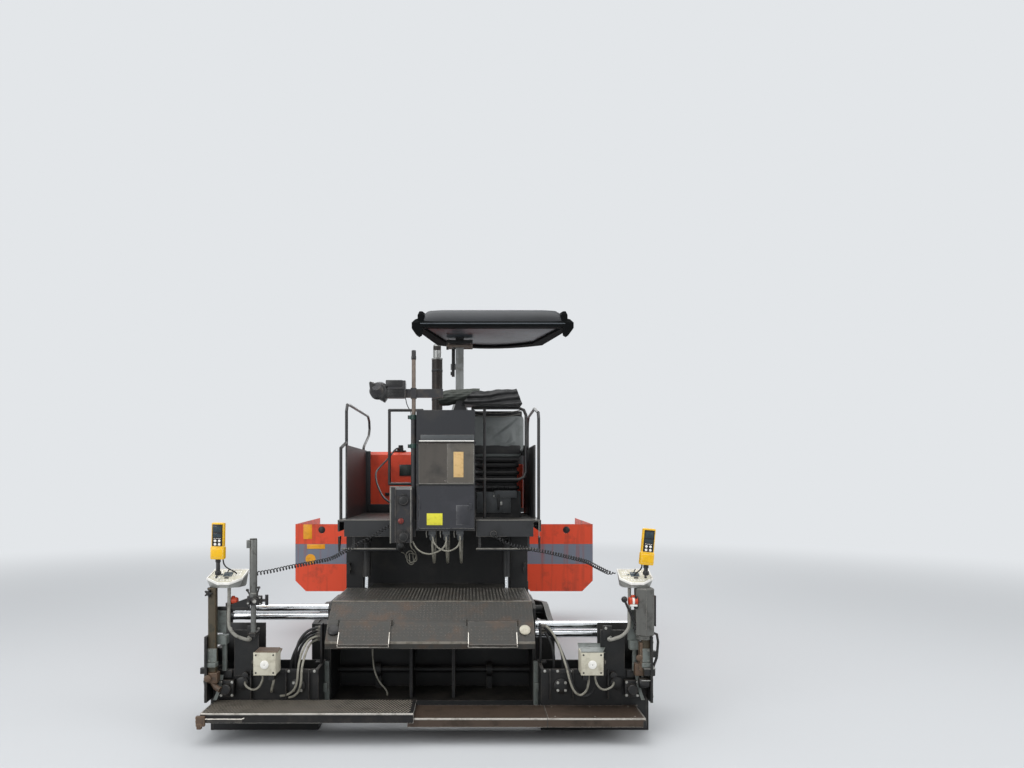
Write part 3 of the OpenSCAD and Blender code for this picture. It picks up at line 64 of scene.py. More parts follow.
scene.camera = camera


def linear(code):
    """The linear colour of an sRGB hex code: v / 12.92 below 0.04045, else ((v + 0.055) / 1.055) ** 2.4."""
    v = np.array([int(code[i:i + 2], 16) for i in (1, 3, 5)]) / 255
    return (*np.where(v <= 0.04045, v / 12.92, ((v + 0.055) / 1.055) ** 2.4).tolist(), 1.0)


def add(tree, kind, **settings):
    """Adds one shader node. A setting named after a socket, or by the letter i and its number, fills it or links
    it to another socket; any other setting is a property of the node."""
    made = tree.nodes.new("ShaderNode" + kind)
    for name, value in settings.items():
        numbered = name[0] == "i" and name[1:].isdigit()
        socket = made.inputs[int(name[1:])] if numbered else made.inputs.get(name.replace("_", " "))
        if socket is None:
            setattr(made, name, value)
        elif isinstance(value, bpy.types.NodeSocket):
            tree.links.new(value, socket)
        else:
            socket.default_value = value
    return made


# Studio floor: smooth pale sheet, matt, lifted to the pale background where the lens or a gloss sees it
floor_mesh = bpy.data.meshes.new("studio_floor")
reach, under = 60, -0.001
floor_mesh.from_pydata([(-reach, -reach, under), (reach, -reach, under),
                        (reach, reach, under), (-reach, reach, under)],
                       [], [(0, 1, 2, 3)])
floor = bpy.data.objects.new("studio_floor", floor_mesh)
scene.collection.objects.link(floor)
floor_paint = bpy.data.materials.new("studio_floor_paint")
floor_paint.use_nodes = True
floor_tree = floor_paint.node_tree
matt = floor_tree.nodes["Principled BSDF"]
matt.inputs["Base Color"].default_value = linear("#c3c5c7")
matt.inputs["Roughness"].default_value = 0.75
from_middle = add(floor_tree, "VectorMath", operation="LENGTH",
                  i0=add(floor_tree, "TexCoord").outputs["Object"]).outputs["Value"]
far_off = add(floor_tree, "MapRange", Value=from_middle, From_Min=4.5,
              From_Max=15.0, interpolation_type="SMOOTHSTEP").outputs[0]
seen = add(floor_tree, "LightPath").outputs
looked_at = add(floor_tree, "Math", operation="MAXIMUM",
                i0=seen["Is Camera Ray"], i1=seen["Is Glossy Ray"]).outputs[0]
fade = add(floor_tree, "Math", operation="MULTIPLY", i0=far_off, i1=looked_at).outputs[0]
pale = linear("#e3e6e9")
glow = add(floor_tree, "Emission", Color=pale, Strength=1.0).outputs[0]
melt = add(floor_tree, "MixShader", Fac=fade, i1=matt.outputs[0], i2=glow).outputs[0]
floor_tree.links.new(melt, floor_tree.nodes["Material Output"].inputs["Surface"])
floor_mesh.materials.append(floor_paint)

world = bpy.data.worlds.new("studio")
scene.world = world
world.use_nodes = True
sky = world.node_tree.nodes["Background"]
sky.inputs["Color"].default_value = pale
rays = add(world.node_tree, "LightPath").outputs
plain = add(world.node_tree, "Math", operation="MAXIMUM",
            i0=rays["Is Camera Ray"], i1=rays["Is Glossy Ray"]).outputs[0]
strength = add(world.node_tree, "MapRange", Value=plain, To_Min=0.7, To_Max=1.0).outputs[0]
world.node_tree.links.new(strength, sky.inputs["Strength"])
looked_towards = np.array([0.0, -0.6, 1.0])
for place, size, power in (((-1.0, -2.0, 9.0), 9.0, 520.0), ((-6.5, -9.0, 5.0), 5.0, 330.0),
                           ((7.5, -5.0, 5.5), 5.0, 220.0), ((1.0, 9.0, 6.0), 6.0, 260.0)):
    lamp = bpy.data.lights.new("softbox", "AREA")
    lamp.shape, lamp.size, lamp.energy = "SQUARE", size, power
    box = bpy.data.objects.new("softbox", lamp)
    box.location = place
    aim = looked_towards - np.array(place)
    box.rotation_euler = (float(np.arctan2(np.hypot(aim[0], aim[1]), -aim[2])), 0.0,
                          float(np.arctan2(-aim[0], aim[1])))
    scene.collection.objects.link(box)

# Coiled handset leads. A 7.2 mm rubber lead wound to about 31 mm across hangs from each control stand to a
# socket on the tractor's rear; each is made in two lengths, because the screed slides and lifts between its ends.


def curve(points, steps):
    """Smooth curve through the points: the uniform Catmull-Rom cubic, each span cut into equal steps."""
    p = np.asarray(points, float)
    a, b, c, d = p[np.r_[0, 0:len(p) - 2]], p[:-1], p[1:], p[np.r_[2:len(p), len(p) - 1]]
    t = (np.arange(steps) / steps)[None, :, None]
    a, b, c, d = a[:, None], b[:, None], c[:, None], d[:, None]
    q = 0.5 * (2 * b + (c - a) * t + (2 * a - 5 * b + 4 * c - d) * t ** 2 + (3 * b - a - 3 * c + d) * t ** 3)
    return np.vstack([q.reshape(-1, 3), p[-1:]])


def along(path, count):
    """The same line resampled at equal distances."""
    s = np.r_[0, np.cumsum(np.linalg.norm(np.diff(path, axis=0), axis=1))]
    u = np.linspace(0, s[-1], count)
    return np.stack([np.interp(u, s, path[:, k]) for k in range(3)], 1)


def axes(path):
    """Unit tangent of a line and two unit vectors square to it that turn as little as they can along it."""
    t = np.gradient(path, axis=0)
    t /= np.linalg.norm(t, axis=1)[:, None]
    n = np.empty_like(t)
    n[0] = np.cross(t[0], (0, 0, 1) if abs(t[0, 2]) < 0.9 else (1, 0, 0))
    n[0] /= np.linalg.norm(n[0])
    for i in range(1, len(t)):
        n[i] = n[i - 1] - (n[i - 1] @ t[i]) * t[i]
        n[i] /= np.linalg.norm(n[i])
    return t, n, np.cross(t, n)


def outward(points, walls, ends):
    """Turns a closed shape's faces outwards if its volume, the sum of each face's area vector times its
    middle over three, is negative."""
    q = points[walls]
    volume = (np.cross(q[:, 2] - q[:, 0], q[:, 3] - q[:, 1]) * q.mean(1)).sum()
    for e in ends:
        r = points[e]
        volume += (np.cross(r, np.roll(r, -1, 0)).sum(0) * r.mean(0)).sum()
    faces = walls.tolist() + [list(e) for e in ends]
    return points, [f[::-1] for f in faces] if volume < 0 else faces


def loft(rings):
    """Closed skin over a stack of rings of equally many points, with both ends filled."""
    rings = np.asarray(rings, float)
    m, n = rings.shape[:2]
    i = (np.arange(m - 1)[:, None] * n + np.arange(n)).ravel()
    j = (np.arange(m - 1)[:, None] * n + (np.arange(n) + 1) % n).ravel()
    return outward(rings.reshape(-1, 3), np.stack([i, j, j + n, i + n], 1),
                   [list(range(n))[::-1], list(range((m - 1) * n, m * n))])


def pipe(path, radius, sides=10):
    """Round skin about a line: at each point a circle of the radius, in the plane square to the line."""
    path = np.asarray(path, float)
    t, n, b = axes(path)
    a = np.arange(sides) * 2 * np.pi / sides
    r = np.broadcast_to(radius, len(path))[:, None, None]
    return loft(path[:, None] + r * (np.cos(a)[None, :, None] * n[:, None] + np.sin(a)[None, :, None] * b[:, None]))


def piece(name, shapes, material, body=None, replaces=(), smooth=38):
    """One object from closed shapes, creased where faces meet at more than the angle, riding on its body."""
    points, faces, start = [], [], 0
    for p, f in shapes:
        points.append(p)
        faces.extend([[k + start for k in face] for face in f])
        start += len(p)
    mesh = bpy.data.meshes.new(name)
    mesh.from_pydata(np.vstack(points).tolist(), [], faces)
    mesh.polygons.foreach_set("use_smooth", [True] * len(faces))
    mesh.set_sharp_from_angle(angle=np.radians(smooth))
    mesh.materials.append(material)
    made = bpy.data.objects.new(name, mesh)
    scene.collection.objects.link(made)
    if body:
        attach(made, body)
    if replaces:
        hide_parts(*replaces)
    return made


def coat(name, base, patch, patch_mm=160, share=0.5, rough=0.5, metal=0.0, edge=None, edge_mm=4,
         worn=0.5, dust=None, dusty=0.6, runs=0.0, grain_mm=3, bump=0.2, band=None):
    """A coated or bare surface: clouds of a second colour of patch_mm, vertical runs, dust where faces look up,
    bare edges where the surface turns within edge_mm, and a fine grain in height and gloss."""
    made = bpy.data.materials.new(name)
    made.use_nodes = True
    tree = made.node_tree
    shader = tree.nodes["Principled BSDF"]
    where = add(tree, "TexCoord").outputs["Object"]
    cloud = add(tree, "TexNoise", Vector=where, Scale=1000 / patch_mm, Detail=9.0, Roughness=0.62).outputs["Fac"]
    fine = add(tree, "TexNoise", Vector=where, Scale=1000 / grain_mm, Detail=4.0).outputs["Fac"]
    mask = add(tree, "MapRange", Value=cloud, From_Min=0.66 - 0.32 * share, From_Max=0.86 - 0.32 * share).outputs[0]
    colour = add(tree, "MixRGB", Fac=mask, Color1=linear(base), Color2=linear(patch)).outputs[0]
    if band:
        low, high, shade = band
        height = add(tree, "SeparateXYZ", Vector=where).outputs["Z"]
        above = add(tree, "Math", operation="GREATER_THAN", i0=height, i1=low).outputs[0]
        below = add(tree, "Math", operation="LESS_THAN", i0=height, i1=high).outputs[0]
        both = add(tree, "Math", operation="MULTIPLY", i0=above, i1=below).outputs[0]
        colour = add(tree, "MixRGB", Fac=both, Color1=colour, Color2=linear(shade)).outputs[0]
    if runs:
        tall = add(tree, "Mapping", Vector=where, Scale=(22.0, 22.0, 1.3)).outputs[0]
        drip = add(tree, "TexNoise", Vector=tall, Scale=1.0, Detail=5.0).outputs["Fac"]
        drip = add(tree, "MapRange", Value=drip, From_Min=0.52, From_Max=0.74, To_Max=runs).outputs[0]
        colour = add(tree, "MixRGB", Fac=drip, Color1=colour, Color2=linear(patch)).outputs[0]
    if dust:
        up = add(tree, "SeparateXYZ", Vector=add(tree, "NewGeometry").outputs["Normal"]).outputs["Z"]
        flat = add(tree, "MapRange", Value=up, From_Min=0.35, From_Max=0.95, To_Max=dusty).outputs[0]
        drift = add(tree, "MapRange", Value=cloud, From_Min=0.3, From_Max=0.6).outputs[0]
        lie = add(tree, "Math", operation="MULTIPLY", i0=flat, i1=drift).outputs[0]
        colour = add(tree, "MixRGB", Fac=lie, Color1=colour, Color2=linear(dust)).outputs[0]
    if edge:
        soft = add(tree, "Bevel", samples=4, Radius=edge_mm / 1000).outputs[0]
        sharp = add(tree, "NewGeometry").outputs["Normal"]
        turn = add(tree, "VectorMath", operation="DOT_PRODUCT", i0=soft, i1=sharp).outputs["Value"]
        rub = add(tree, "MapRange", Value=turn, From_Min=0.995, From_Max=0.9).outputs[0]
        chip = add(tree, "MapRange", Value=cloud, From_Min=0.62 - 0.4 * worn, From_Max=0.7 - 0.4 * worn).outputs[0]
        bare = add(tree, "Math", operation="MULTIPLY", i0=rub, i1=chip).outputs[0]
        colour = add(tree, "MixRGB", Fac=bare, Color1=colour, Color2=linear(edge)).outputs[0]
    tree.links.new(colour, shader.inputs["Base Color"])
    gloss = add(tree, "MapRange", Value=fine, From_Min=0.3, From_Max=0.7, To_Min=rough - 0.1, To_Max=rough + 0.12)
    tree.links.new(gloss.outputs[0], shader.inputs["Roughness"])
    shader.inputs["Metallic"].default_value = metal
    if bump:
        relief = add(tree, "Bump", Height=fine, Strength=bump, Distance=0.001)
        tree.links.new(relief.outputs[0], shader.inputs["Normal"])
    return made


# Lead jacket: matt black extruded rubber with a little dust in its skin
lead_rubber = coat("lead_rubber", "#141415", "#2a2927", patch_mm=30, rough=0.5, grain_mm=1.5, bump=0.1)
coil_ways = {"left": [(-1.18, -2.21, 1.04), (-1.14, -2.18, 1.034), (-1.06, -2.09, 1.04), (-0.965, -1.975, 1.054),
                      (-0.86, -1.83, 1.064), (-0.75, -1.675, 1.078), (-0.69, -1.57, 1.105), (-0.625, -1.475, 1.14),
                      (-0.555, -1.4, 1.178), (-0.48, -1.355, 1.217), (-0.4, -1.335, 1.27), (-0.352, -1.331, 1.297),
                      (-0.3286, -1.33, 1.3), (-0.3053, -1.33, 1.3)],
             "right": [(1.22, -2.21, 1.04), (1.18, -2.17, 1.04), (1.125, -2.05, 1.062), (1.07, -1.9, 1.085),
                       (0.96, -1.74, 1.102), (0.84, -1.6, 1.12), (0.7, -1.475, 1.135), (0.6, -1.41, 1.152),
                       (0.52, -1.38, 1.182), (0.47, -1.366, 1.214), (0.452, -1.343, 1.23),
                       (0.45, -1.32, 1.232), (0.45, -1.3003, 1.232)],}
coil_pitch, coil_across, lead_d = 0.0255, 0.031, 0.0072
per_span, per_turn, straight_end, overlap = 24, 14, 0.05, 0.002
for side, way in coil_ways.items():
    line = curve(way, per_span)
    cut = np.linalg.norm(np.diff(line[:4 * per_span + 1], axis=0), axis=1).sum()
    total = np.linalg.norm(np.diff(line, axis=0), axis=1).sum()
    core = along(line, int(total / coil_pitch * per_turn))
    s = np.linspace(0, total, len(core))
    _, n, b = axes(core)
    wide = (coil_across - lead_d) / 2 * np.clip(np.minimum(s, total - s) / straight_end, 0.02, 1)[:, None]
    turn = (2 * np.pi * s / coil_pitch)[:, None]
    wire = core + wide * (np.cos(turn) * n + np.sin(turn) * b)
    for part, keep, ends in (("outer", s <= cut + overlap, (f"extension_{side}", "screed")),
                             ("inner", s >= cut - overlap, ("screed", "tractor"))):
        route = wire[keep] if part == "outer" else wire[keep][::-1]
        made = piece(f"coiled_lead_{part}_{side}", [pipe(route, lead_d / 2, 7)], lead_rubber,
                     replaces=[f"coil_{part}_{side}"])
        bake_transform(made)


def cord(name, points, across, material, body, replaces=(), ribs=0.0,
         sides=10, steps=10):
    """A free lead or hose through the points; ribs is the pitch of a corrugated wall, whose radius swells and
    shrinks by a twelfth as a sine along it."""
    line = curve(points, steps)
    long = np.linalg.norm(np.diff(line, axis=0), axis=1).sum()
    route = along(line, int(long / ribs * 4)) if ribs else along(line, max(int(long / 0.012), 16))
    r = across / 2 * (1 - (0.08 + 0.08 * np.cos(np.arange(len(route)) * np.pi / 2)) * (ribs > 0))
    made = piece(name, [pipe(route, r, sides)], material, body, replaces)
    return made


def mirror(points, side):
    """The same points on the left where side is left."""
    return [(-x, y, z) if side == "left" else (x, y, z) for x, y, z in points]


# Conduit: pale grey corrugated nylon, dusty in its grooves. Leads of the junction boxes: worn pale rubber.
conduit_nylon = coat("conduit_nylon", "#9c9a92", "#5d5a52", patch_mm=45, rough=0.55, grain_mm=2, bump=0.1)
pale_lead = coat("pale_lead", "#8f8c80", "#5a564c", patch_mm=40, rough=0.55, grain_mm=2, bump=0.1)
conduit = [(1.31, -2.215, 0.9495), (1.31, -2.215, 0.89), (1.31, -2.218, 0.83), (1.308, -2.234, 0.76),
           (1.3, -2.242, 0.69), (1.262, -2.242, 0.64), (1.205, -2.238, 0.615), (1.18, -2.224, 0.606),
           (1.18, -2.204, 0.605), (1.18, -2.1863, 0.605)]
box_lead = [(1.08, -2.255, 0.3996), (1.08, -2.255, 0.38), (1.08, -2.256, 0.355), (1.1, -2.258, 0.31),
            (1.14, -2.245, 0.285), (1.19, -2.22, 0.295), (1.21, -2.206, 0.318), (1.21, -2.19, 0.32),
            (1.21, -2.1704, 0.32)]
for side in ("left", "right"):
    cord(f"conduit_{side}", mirror(conduit, side), 0.024, conduit_nylon,
         f"extension_{side}", [f"harness_{side}"], ribs=0.006)
    cord(f"junction_lead_{side}", mirror(box_lead, side), 0.014, pale_lead,
         f"extension_{side}", [f"harness_{side}"])
for k, x in enumerate((-0.025, 0.083, 0.19)):
    cord(f"cabinet_cable_{k + 1}",
         [(x, -1.255, 1.1795), (x, -1.255, 1.13), (x + 0.005, -1.235, 1.05),
          (x + 0.008, -1.165, 1.0), (x + 0.01, -1.09, 1.0), (x + 0.012, -1.045, 1.05),
          (x + 0.015, -1.025, 1.15), (x + 0.015, -1.02, 1.24), (x + 0.015, -1.016, 1.2795)],
         0.017, pale_lead, "tractor", ["cabinet_cables"])


def dress(material, *nodes):
    """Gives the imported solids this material."""
    for n in nodes:
        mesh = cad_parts[n].data
        mesh.materials.clear()
        mesh.materials.append(material)


# Frame and undercarriage. Welded plate in black paint, set darker than the paint as painted shade for the shadow
# under the deck, dulled by asphalt dust and bare on its corners; rolled side frames with lubricated rollers; rubber
# pads bolted to forged shoes.
frame_paint_and_shade = coat("frame_paint_and_shade", "#101112", "#262320", patch_mm=220, rough=0.55,
                   edge="#6f6a63", worn=0.45, dust="#5a5650", runs=0.3)
undercarriage_paint = coat("undercarriage_paint", "#1b1b1b", "#3a342d", patch_mm=120,
                           rough=0.6, edge="#635c53", dust="#5d574e")
pad_rubber = coat("pad_rubber", "#202020", "#47433d", patch_mm=90, rough=0.75,
                  edge="#4c4944", edge_mm=6, grain_mm=4, bump=0.5)
dress(frame_paint_and_shade, "chassis", "hopper_pan", "push_beam", "tow_arms")
dress(undercarriage_paint, "track_frame_left", "track_frame_right")
dress(pad_rubber, "track_left", "track_right")

# Power pack under an orange-red enamelled hood, faded and grimed; a heat-stained steel exhaust stands in it.
hood_enamel = coat("hood_enamel", "#dd4524", "#b8381e", patch_mm=260, rough=0.42,
                   edge="#5c4a42", worn=0.3, dust="#9c5442", dusty=0.5, runs=0.35)
block_casting = coat("block_casting", "#4a4a4b", "#33302d", patch_mm=80, rough=0.6, grain_mm=5, bump=0.6)
stained_steel = coat("stained_steel", "#26221f", "#3d322a", patch_mm=70, rough=0.5, metal=0.4, edge="#5b4f46")
dress(hood_enamel, "engine_hood")
dress(block_casting, "engine_block")
dress(stained_steel, "exhaust")

# Hopper and conveyor: orange-red wings with a blue-grey band, scraped steel inside; hard iron flights.
wing_enamel = coat("wing_enamel", "#e24b26", "#9c3a22", patch_mm=200, share=0.42, rough=0.45, edge="#4b403a",
                   worn=0.5, dust="#7c4a3b", runs=0.6, band=(0.774, 0.983, "#737c8a"))
scraped_steel = coat("scraped_steel", "#6d6862", "#35322f", patch_mm=90, rough=0.42,
                     metal=0.75, edge="#a39d94", grain_mm=2)
flight_iron = coat("flight_iron", "#4f4b46", "#2b2825", patch_mm=60, rough=0.5, metal=0.6, edge="#8d867c")
cylinder_yellow = coat("cylinder_yellow", "#d9a11c", "#8a6a22", patch_mm=90, rough=0.4, edge="#5a4f3c")
hard_chrome = coat("hard_chrome", "#dfe1e3", "#c9cbcc", patch_mm=60, rough=0.14, metal=1.0, grain_mm=6, bump=0.02)
dress(wing_enamel, "hopper_wing_left", "hopper_wing_right")
dress(scraped_steel, "conveyor", "push_roller_left", "push_roller_right")
dress(flight_iron, "auger_left", "auger_right")
dress(cylinder_yellow, "wing_barrel_left", "wing_barrel_right")
dress(hard_chrome, "wing_rod_left", "wing_rod_right", "lift_rod_left",
      "lift_rod_right", "guide_tubes_left", "guide_tubes_right")
dress(frame_paint_and_shade, "lift_barrel_left", "lift_barrel_right")

# Operator's platform: dark grey painted plate with trodden edges, black tube rails, grey vinyl and black rubber.
deck_paint = coat("deck_paint", "#27282a", "#191a1a", patch_mm=180, rough=0.5,
                  edge="#7b756d", worn=0.5, dust="#4d4842", runs=0.35)
rail_paint = coat("rail_paint", "#232324", "#3b3733", patch_mm=90, rough=0.42, edge="#6b665f", dust="#4c4842")
seat_vinyl = coat("seat_vinyl", "#7c807f", "#646867", patch_mm=120, rough=0.55,
                  grain_mm=1.6, bump=0.3, dust="#6f7070")
bellows_rubber = coat("bellows_rubber", "#161617", "#2a2826", patch_mm=80, rough=0.6, grain_mm=3)
console_plastic = coat("console_plastic", "#2b2c2e", "#1d1d1e", patch_mm=100, rough=0.5,
                       grain_mm=1.5, bump=0.35, dust="#514d48")
tarpaulin = coat("tarpaulin", "#151516", "#232324", patch_mm=60, rough=0.45, grain_mm=2, bump=0.3)
dress(deck_paint, "deck")
dress(rail_paint, "handrails")
dress(seat_vinyl, "operator_seat")
dress(bellows_rubber, "seat_mount")
dress(console_plastic, "console")
dress(tarpaulin, "tarp")

# Electrical cabinet: folded steel in dark grey-brown paint, its lid rubbed by hands, its door nearly black.
cabinet_paint = coat("cabinet_paint", "#222327", "#2d2c2c", patch_mm=200, rough=0.42,
                     edge="#77726c", worn=0.35, dust="#55514b", runs=0.2)
lid_paint = coat("lid_paint", "#4d4842", "#36332f", patch_mm=150, rough=0.38,
                 edge="#a8a49d", worn=0.5, grain_mm=2, runs=0.3)
door_paint = coat("door_paint", "#2b2c31", "#34343a", patch_mm=160, rough=0.42, edge="#5d5d5f", worn=0.3, runs=0.15)
dress(cabinet_paint, "cabinet")
dress(lid_paint, "cabinet_lid")
dress(door_paint, "cabinet_door")

# Service mast and canopy: dark tube, light grey painted mast, roof moulded from black plastic; the imported canopy
# is near-black and almost without gloss, painted shade for the shadow under the roof.
mast_dark = coat("mast_dark", "#252528", "#3e3832", patch_mm=70, rough=0.5, edge="#66605a")
mast_grey = coat("mast_grey", "#9a9c9b", "#74736e", patch_mm=90, rough=0.45, edge="#5b5752", worn=0.4, runs=0.4)
roof_plastic = coat("roof_plastic", "#1f2226", "#15171a", patch_mm=300, rough=0.42,
                    grain_mm=2, bump=0.15, dust="#3a3d40", dusty=0.5)
# Painted shade: near-black and nearly without gloss, standing for the shadow under the canopy.
roof_painted_shade = coat("roof_painted_shade", "#07090a", "#0c0f10", patch_mm=300, rough=0.85, grain_mm=2, bump=0.1)
roof_painted_shade.node_tree.nodes["Principled BSDF"].inputs["Specular IOR Level"].default_value = 0.12
dress(mast_dark, "service_mast")
dress(mast_grey, "canopy_mast")
dress(roof_painted_shade, "canopy")

# Screed: black plate caked with bitumen, its black set darker than the paint as painted shade for the shadowed
# boxes of the extensions; checker plate worn to bright steel on its edges, rusty on its field.
screed_paint_and_shade = coat("screed_paint_and_shade", "#0c0d0e", "#1d1b19", patch_mm=110, rough=0.55,
                    edge="#5f5952", worn=0.45, dust="#45403a", grain_mm=4, bump=0.4)
checker_plate = coat("checker_plate", "#3a3936", "#4a3d33", patch_mm=130, rough=0.42, metal=0.55,
                     edge="#88827a", worn=0.6, edge_mm=3, grain_mm=5, bump=0.5, runs=0.3)
board_paint = coat("board_paint", "#161515", "#2b2723", patch_mm=70, rough=0.5,
                   metal=0.3, edge="#c9c5bd", worn=0.7, edge_mm=3)
board_rust = coat("board_rust", "#4b3e34", "#32291f", patch_mm=90, rough=0.5, metal=0.4,
                  edge="#d8d2c8", worn=0.8, edge_mm=3, grain_mm=4, bump=0.4)
dress(screed_paint_and_shade, "main_screed", "extension_left", "extension_right")
dress(checker_plate, "walkway", "step_left", "step_right")
dress(board_paint, "footboard_left")
dress(board_rust, "footboard_right")


def block(low, high, r=0.003):
    """Box with rounded edges: rounded rectangles stacked along Z, drawn in by the rounding towards both ends."""
    low, high = np.minimum(low, high), np.maximum(low, high)
    mid, half = (low + high) / 2, (high - low) / 2
    r = min(r, 0.45 * half.min())
    inset = r * np.array([0.6, 0.2, 0.0, 0.0, 0.2, 0.6])
    z = np.r_[low[2] + r * np.array([0.0, 0.25, 1.0]), high[2] - r * np.array([1.0, 0.25, 0.0])]
    a = np.radians(np.arange(4)[:, None] * 90 + np.array([0, 45, 90])).ravel()
    corner = np.repeat([[1, 1], [-1, 1], [-1, -1], [1, -1]], 3, 0) * (half[:2] - r) + mid[:2]
    ring = corner + (r - inset)[:, None, None] * np.stack([np.cos(a), np.sin(a)], 1)
    return loft(np.dstack([ring, np.broadcast_to(z[:, None, None], (6, 12, 1))]))


def turned(profile, at, line=(0, 0, 1), sides=20):
    """Turned solid: pairs of radius and distance, carried round a line that starts at a point."""
    d = np.array(line, float) / np.linalg.norm(line)
    n = np.cross(d, (0, 0, 1) if abs(d[2]) < 0.9 else (1, 0, 0))
    n /= np.linalg.norm(n)
    a = (np.arange(sides) + 0.5) * 2 * np.pi / sides
    round_ = np.cos(a)[:, None] * n + np.sin(a)[:, None] * np.cross(d, n)
    p = np.asarray(profile, float)
    return loft(np.array(at) + p[:, 1, None, None] * d + np.maximum(p[:, 0], 2e-4)[:, None, None] * round_)


def repeat(shape, spots):
    """The same shape set down at every spot."""
    points, faces = shape
    spots = np.atleast_2d(np.asarray(spots, float))
    return (points[None] + spots[:, None]).reshape(-1, 3), [
        [k + i * len(points) for k in f] for i in range(len(spots)) for f in faces]


def tilt(shape, at, line, degrees):
    """The shape turned about a line through a point, by Rodrigues' formula."""
    u, a = np.array(line, float) / np.linalg.norm(line), np.radians(degrees)
    v = shape[0] - np.array(at)
    turned_ = v * np.cos(a) + np.cross(u, v) * np.sin(a) + np.outer(v @ u, u) * (1 - np.cos(a))
    return turned_ + np.array(at), shape[1]


def bolts(spots, line, r=0.008):
    """Hexagon heads on their washers."""
    head = turned([(r, 0), (r, 0.6 * r), (0.86 * r, 0.75 * r)], (0, 0, 0), line, 6)
    return [repeat(head, spots), repeat(turned([(1.25 * r, 0), (1.25 * r, 0.2 * r)], (0, 0, 0), line, 14), spots)]


# Tread pattern of the walkway and steps: lozenges rolled up 1.5 mm out of the plate, 25 mm apart, each turned
# square to its neighbours, their tops walked bright. The left footboard has rows of short bars, the right one
# is worn nearly flat.
tread_steel = coat("tread_steel", "#4d4a45", "#332d28", patch_mm=90, rough=0.4, metal=0.5,
                   edge="#8f8a81", worn=0.4, edge_mm=2, grain_mm=4)


def lozenges(corner, across, down, pitch, long, wide, high, gap=0.012):
    """Raised bars on a plate that starts at a corner and runs along two vectors, square to their neighbours."""
    corner, across, down = (np.array(v, float) for v in (corner, across, down))
    nx, ny = int((np.linalg.norm(across) - 2 * gap) / pitch), int((np.linalg.norm(down) - 2 * gap) / pitch)
    u, v = across / np.linalg.norm(across), down / np.linalg.norm(down)
    w = np.cross(u, v)
    w = w if w[2] > 0 else -w
    i, j = (k.ravel() for k in np.meshgrid(np.arange(nx), np.arange(ny)))
    spots = corner + u * (gap + (i[:, None] + 0.5) * pitch) + v * (gap + (j[:, None] + 0.5) * pitch)
    shapes = []
    for k, (a, b) in enumerate(((u, v), (v, -u))):
        base = np.array([a * long, b * wide, -a * long, -b * wide])
        rings = np.stack([base - w * 0.0005, base * [[0.92], [0.8], [0.92], [0.8]] + w * high * 0.7,
                          base * [[0.75], [0.4], [0.75], [0.4]] + w * high])
        shapes.append(repeat(tilt(loft(rings), (0, 0, 0), w, 45), spots[(i + j) % 2 == k]))
    return shapes


facets = np.array([(-1.16, 0.798), (-1.825, 0.798), (-2.025, 0.68), (-2.125, 0.57)])
tread = {"pitch": 0.025, "long": 0.0095, "wide": 0.0032, "high": 0.0016}
rows = []
for (y0, z0), (y1, z1) in zip(facets[:-1], facets[1:]):
    rows += lozenges((-0.7, y0, z0), (1.4, 0, 0), (0, y1 - y0, z1 - z0), **tread)
piece("walkway_tread", rows, tread_steel, "screed")
lip_fall, lip_run = 0.11, 0.1
slope = np.degrees(np.arctan2(lip_fall, lip_run))
bright_steel = coat("bright_steel", "#cdc8bf", "#8f887e", patch_mm=60, rough=0.3, metal=0.8, grain_mm=3)
for side, x0, x1 in (("left", -0.615, -0.27), ("right", 0.253, 0.583)):
    hinge, body = (x0, -2.03, 0.69), f"step_{side}"
    rows = lozenges((x0, -2.05, 0.695), (x1 - x0, 0, 0), (0, -0.16, 0), **tread)
    lip = [block((x0, -2.226, 0.6845), (x1, -2.215, 0.6895), 0.001)]
    rim = [block((x0, -2.226, 0.684), (x0 + 0.006, -2.12, 0.7), 0.002),
           block((x1 - 0.006, -2.226, 0.684), (x1, -2.12, 0.7), 0.002),
           block((x0, -2.228, 0.684), (x1, -2.224, 0.69), 0.0015)]
    for what, shapes, finish in (("tread", rows, tread_steel), ("lip", lip, tread_steel),
                                 ("rim", rim, bright_steel)):
        piece(f"step_{what}_{side}",
              [tilt(s, hinge, (1, 0, 0), slope) for s in shapes], finish, body)

# Control stands, one on each extension's end plate. A rusty square spindle post on the left and a grey hexagonal
# one on the right carry a six-cornered tray, cast in light alloy, whose sloping face holds a display and keys under
# a bright rim; an orange-yellow moulded handset stands on a short post in it.
tray_alloy = coat("tray_alloy", "#a9aaa6", "#7d7a73", patch_mm=60, rough=0.4,
                  metal=0.35, edge="#e4e6e7", grain_mm=2, bump=0.1)
rim_alloy = coat("rim_alloy", "#eceae4", "#cfccc4", patch_mm=50, rough=0.35, grain_mm=2, bump=0.05)
panel_enamel = coat("panel_enamel", "#cfcbb9", "#b3ae9c", patch_mm=30, rough=0.4, grain_mm=2, bump=0.05)
display_glass = coat("display_glass", "#26343a", "#3b4d55", patch_mm=25, rough=0.12, grain_mm=5, bump=0)
key_white = coat("key_white", "#f2f0ea", "#dedbd2", patch_mm=20, rough=0.35, grain_mm=2, bump=0.05)
hard_black = coat("hard_black", "#141414", "#242322", patch_mm=30, rough=0.38, grain_mm=2, bump=0.1, dust="#4a4641")
handset_yellow = coat("handset_yellow", "#f5bd07", "#e0a806", patch_mm=60, rough=0.35,
                      grain_mm=2, bump=0.08, edge="#f7dd8a", worn=0.6)
post_rust = coat("post_rust", "#4b4334", "#2f3128", patch_mm=45, rough=0.6, metal=0.2,
                 edge="#8a6a48", grain_mm=3, bump=0.4, runs=0.4)
column_grey = coat("column_grey", "#5f5f5b", "#3c3a36", patch_mm=60, rough=0.45,
                   metal=0.2, edge="#99958c", grain_mm=3, runs=0.5)
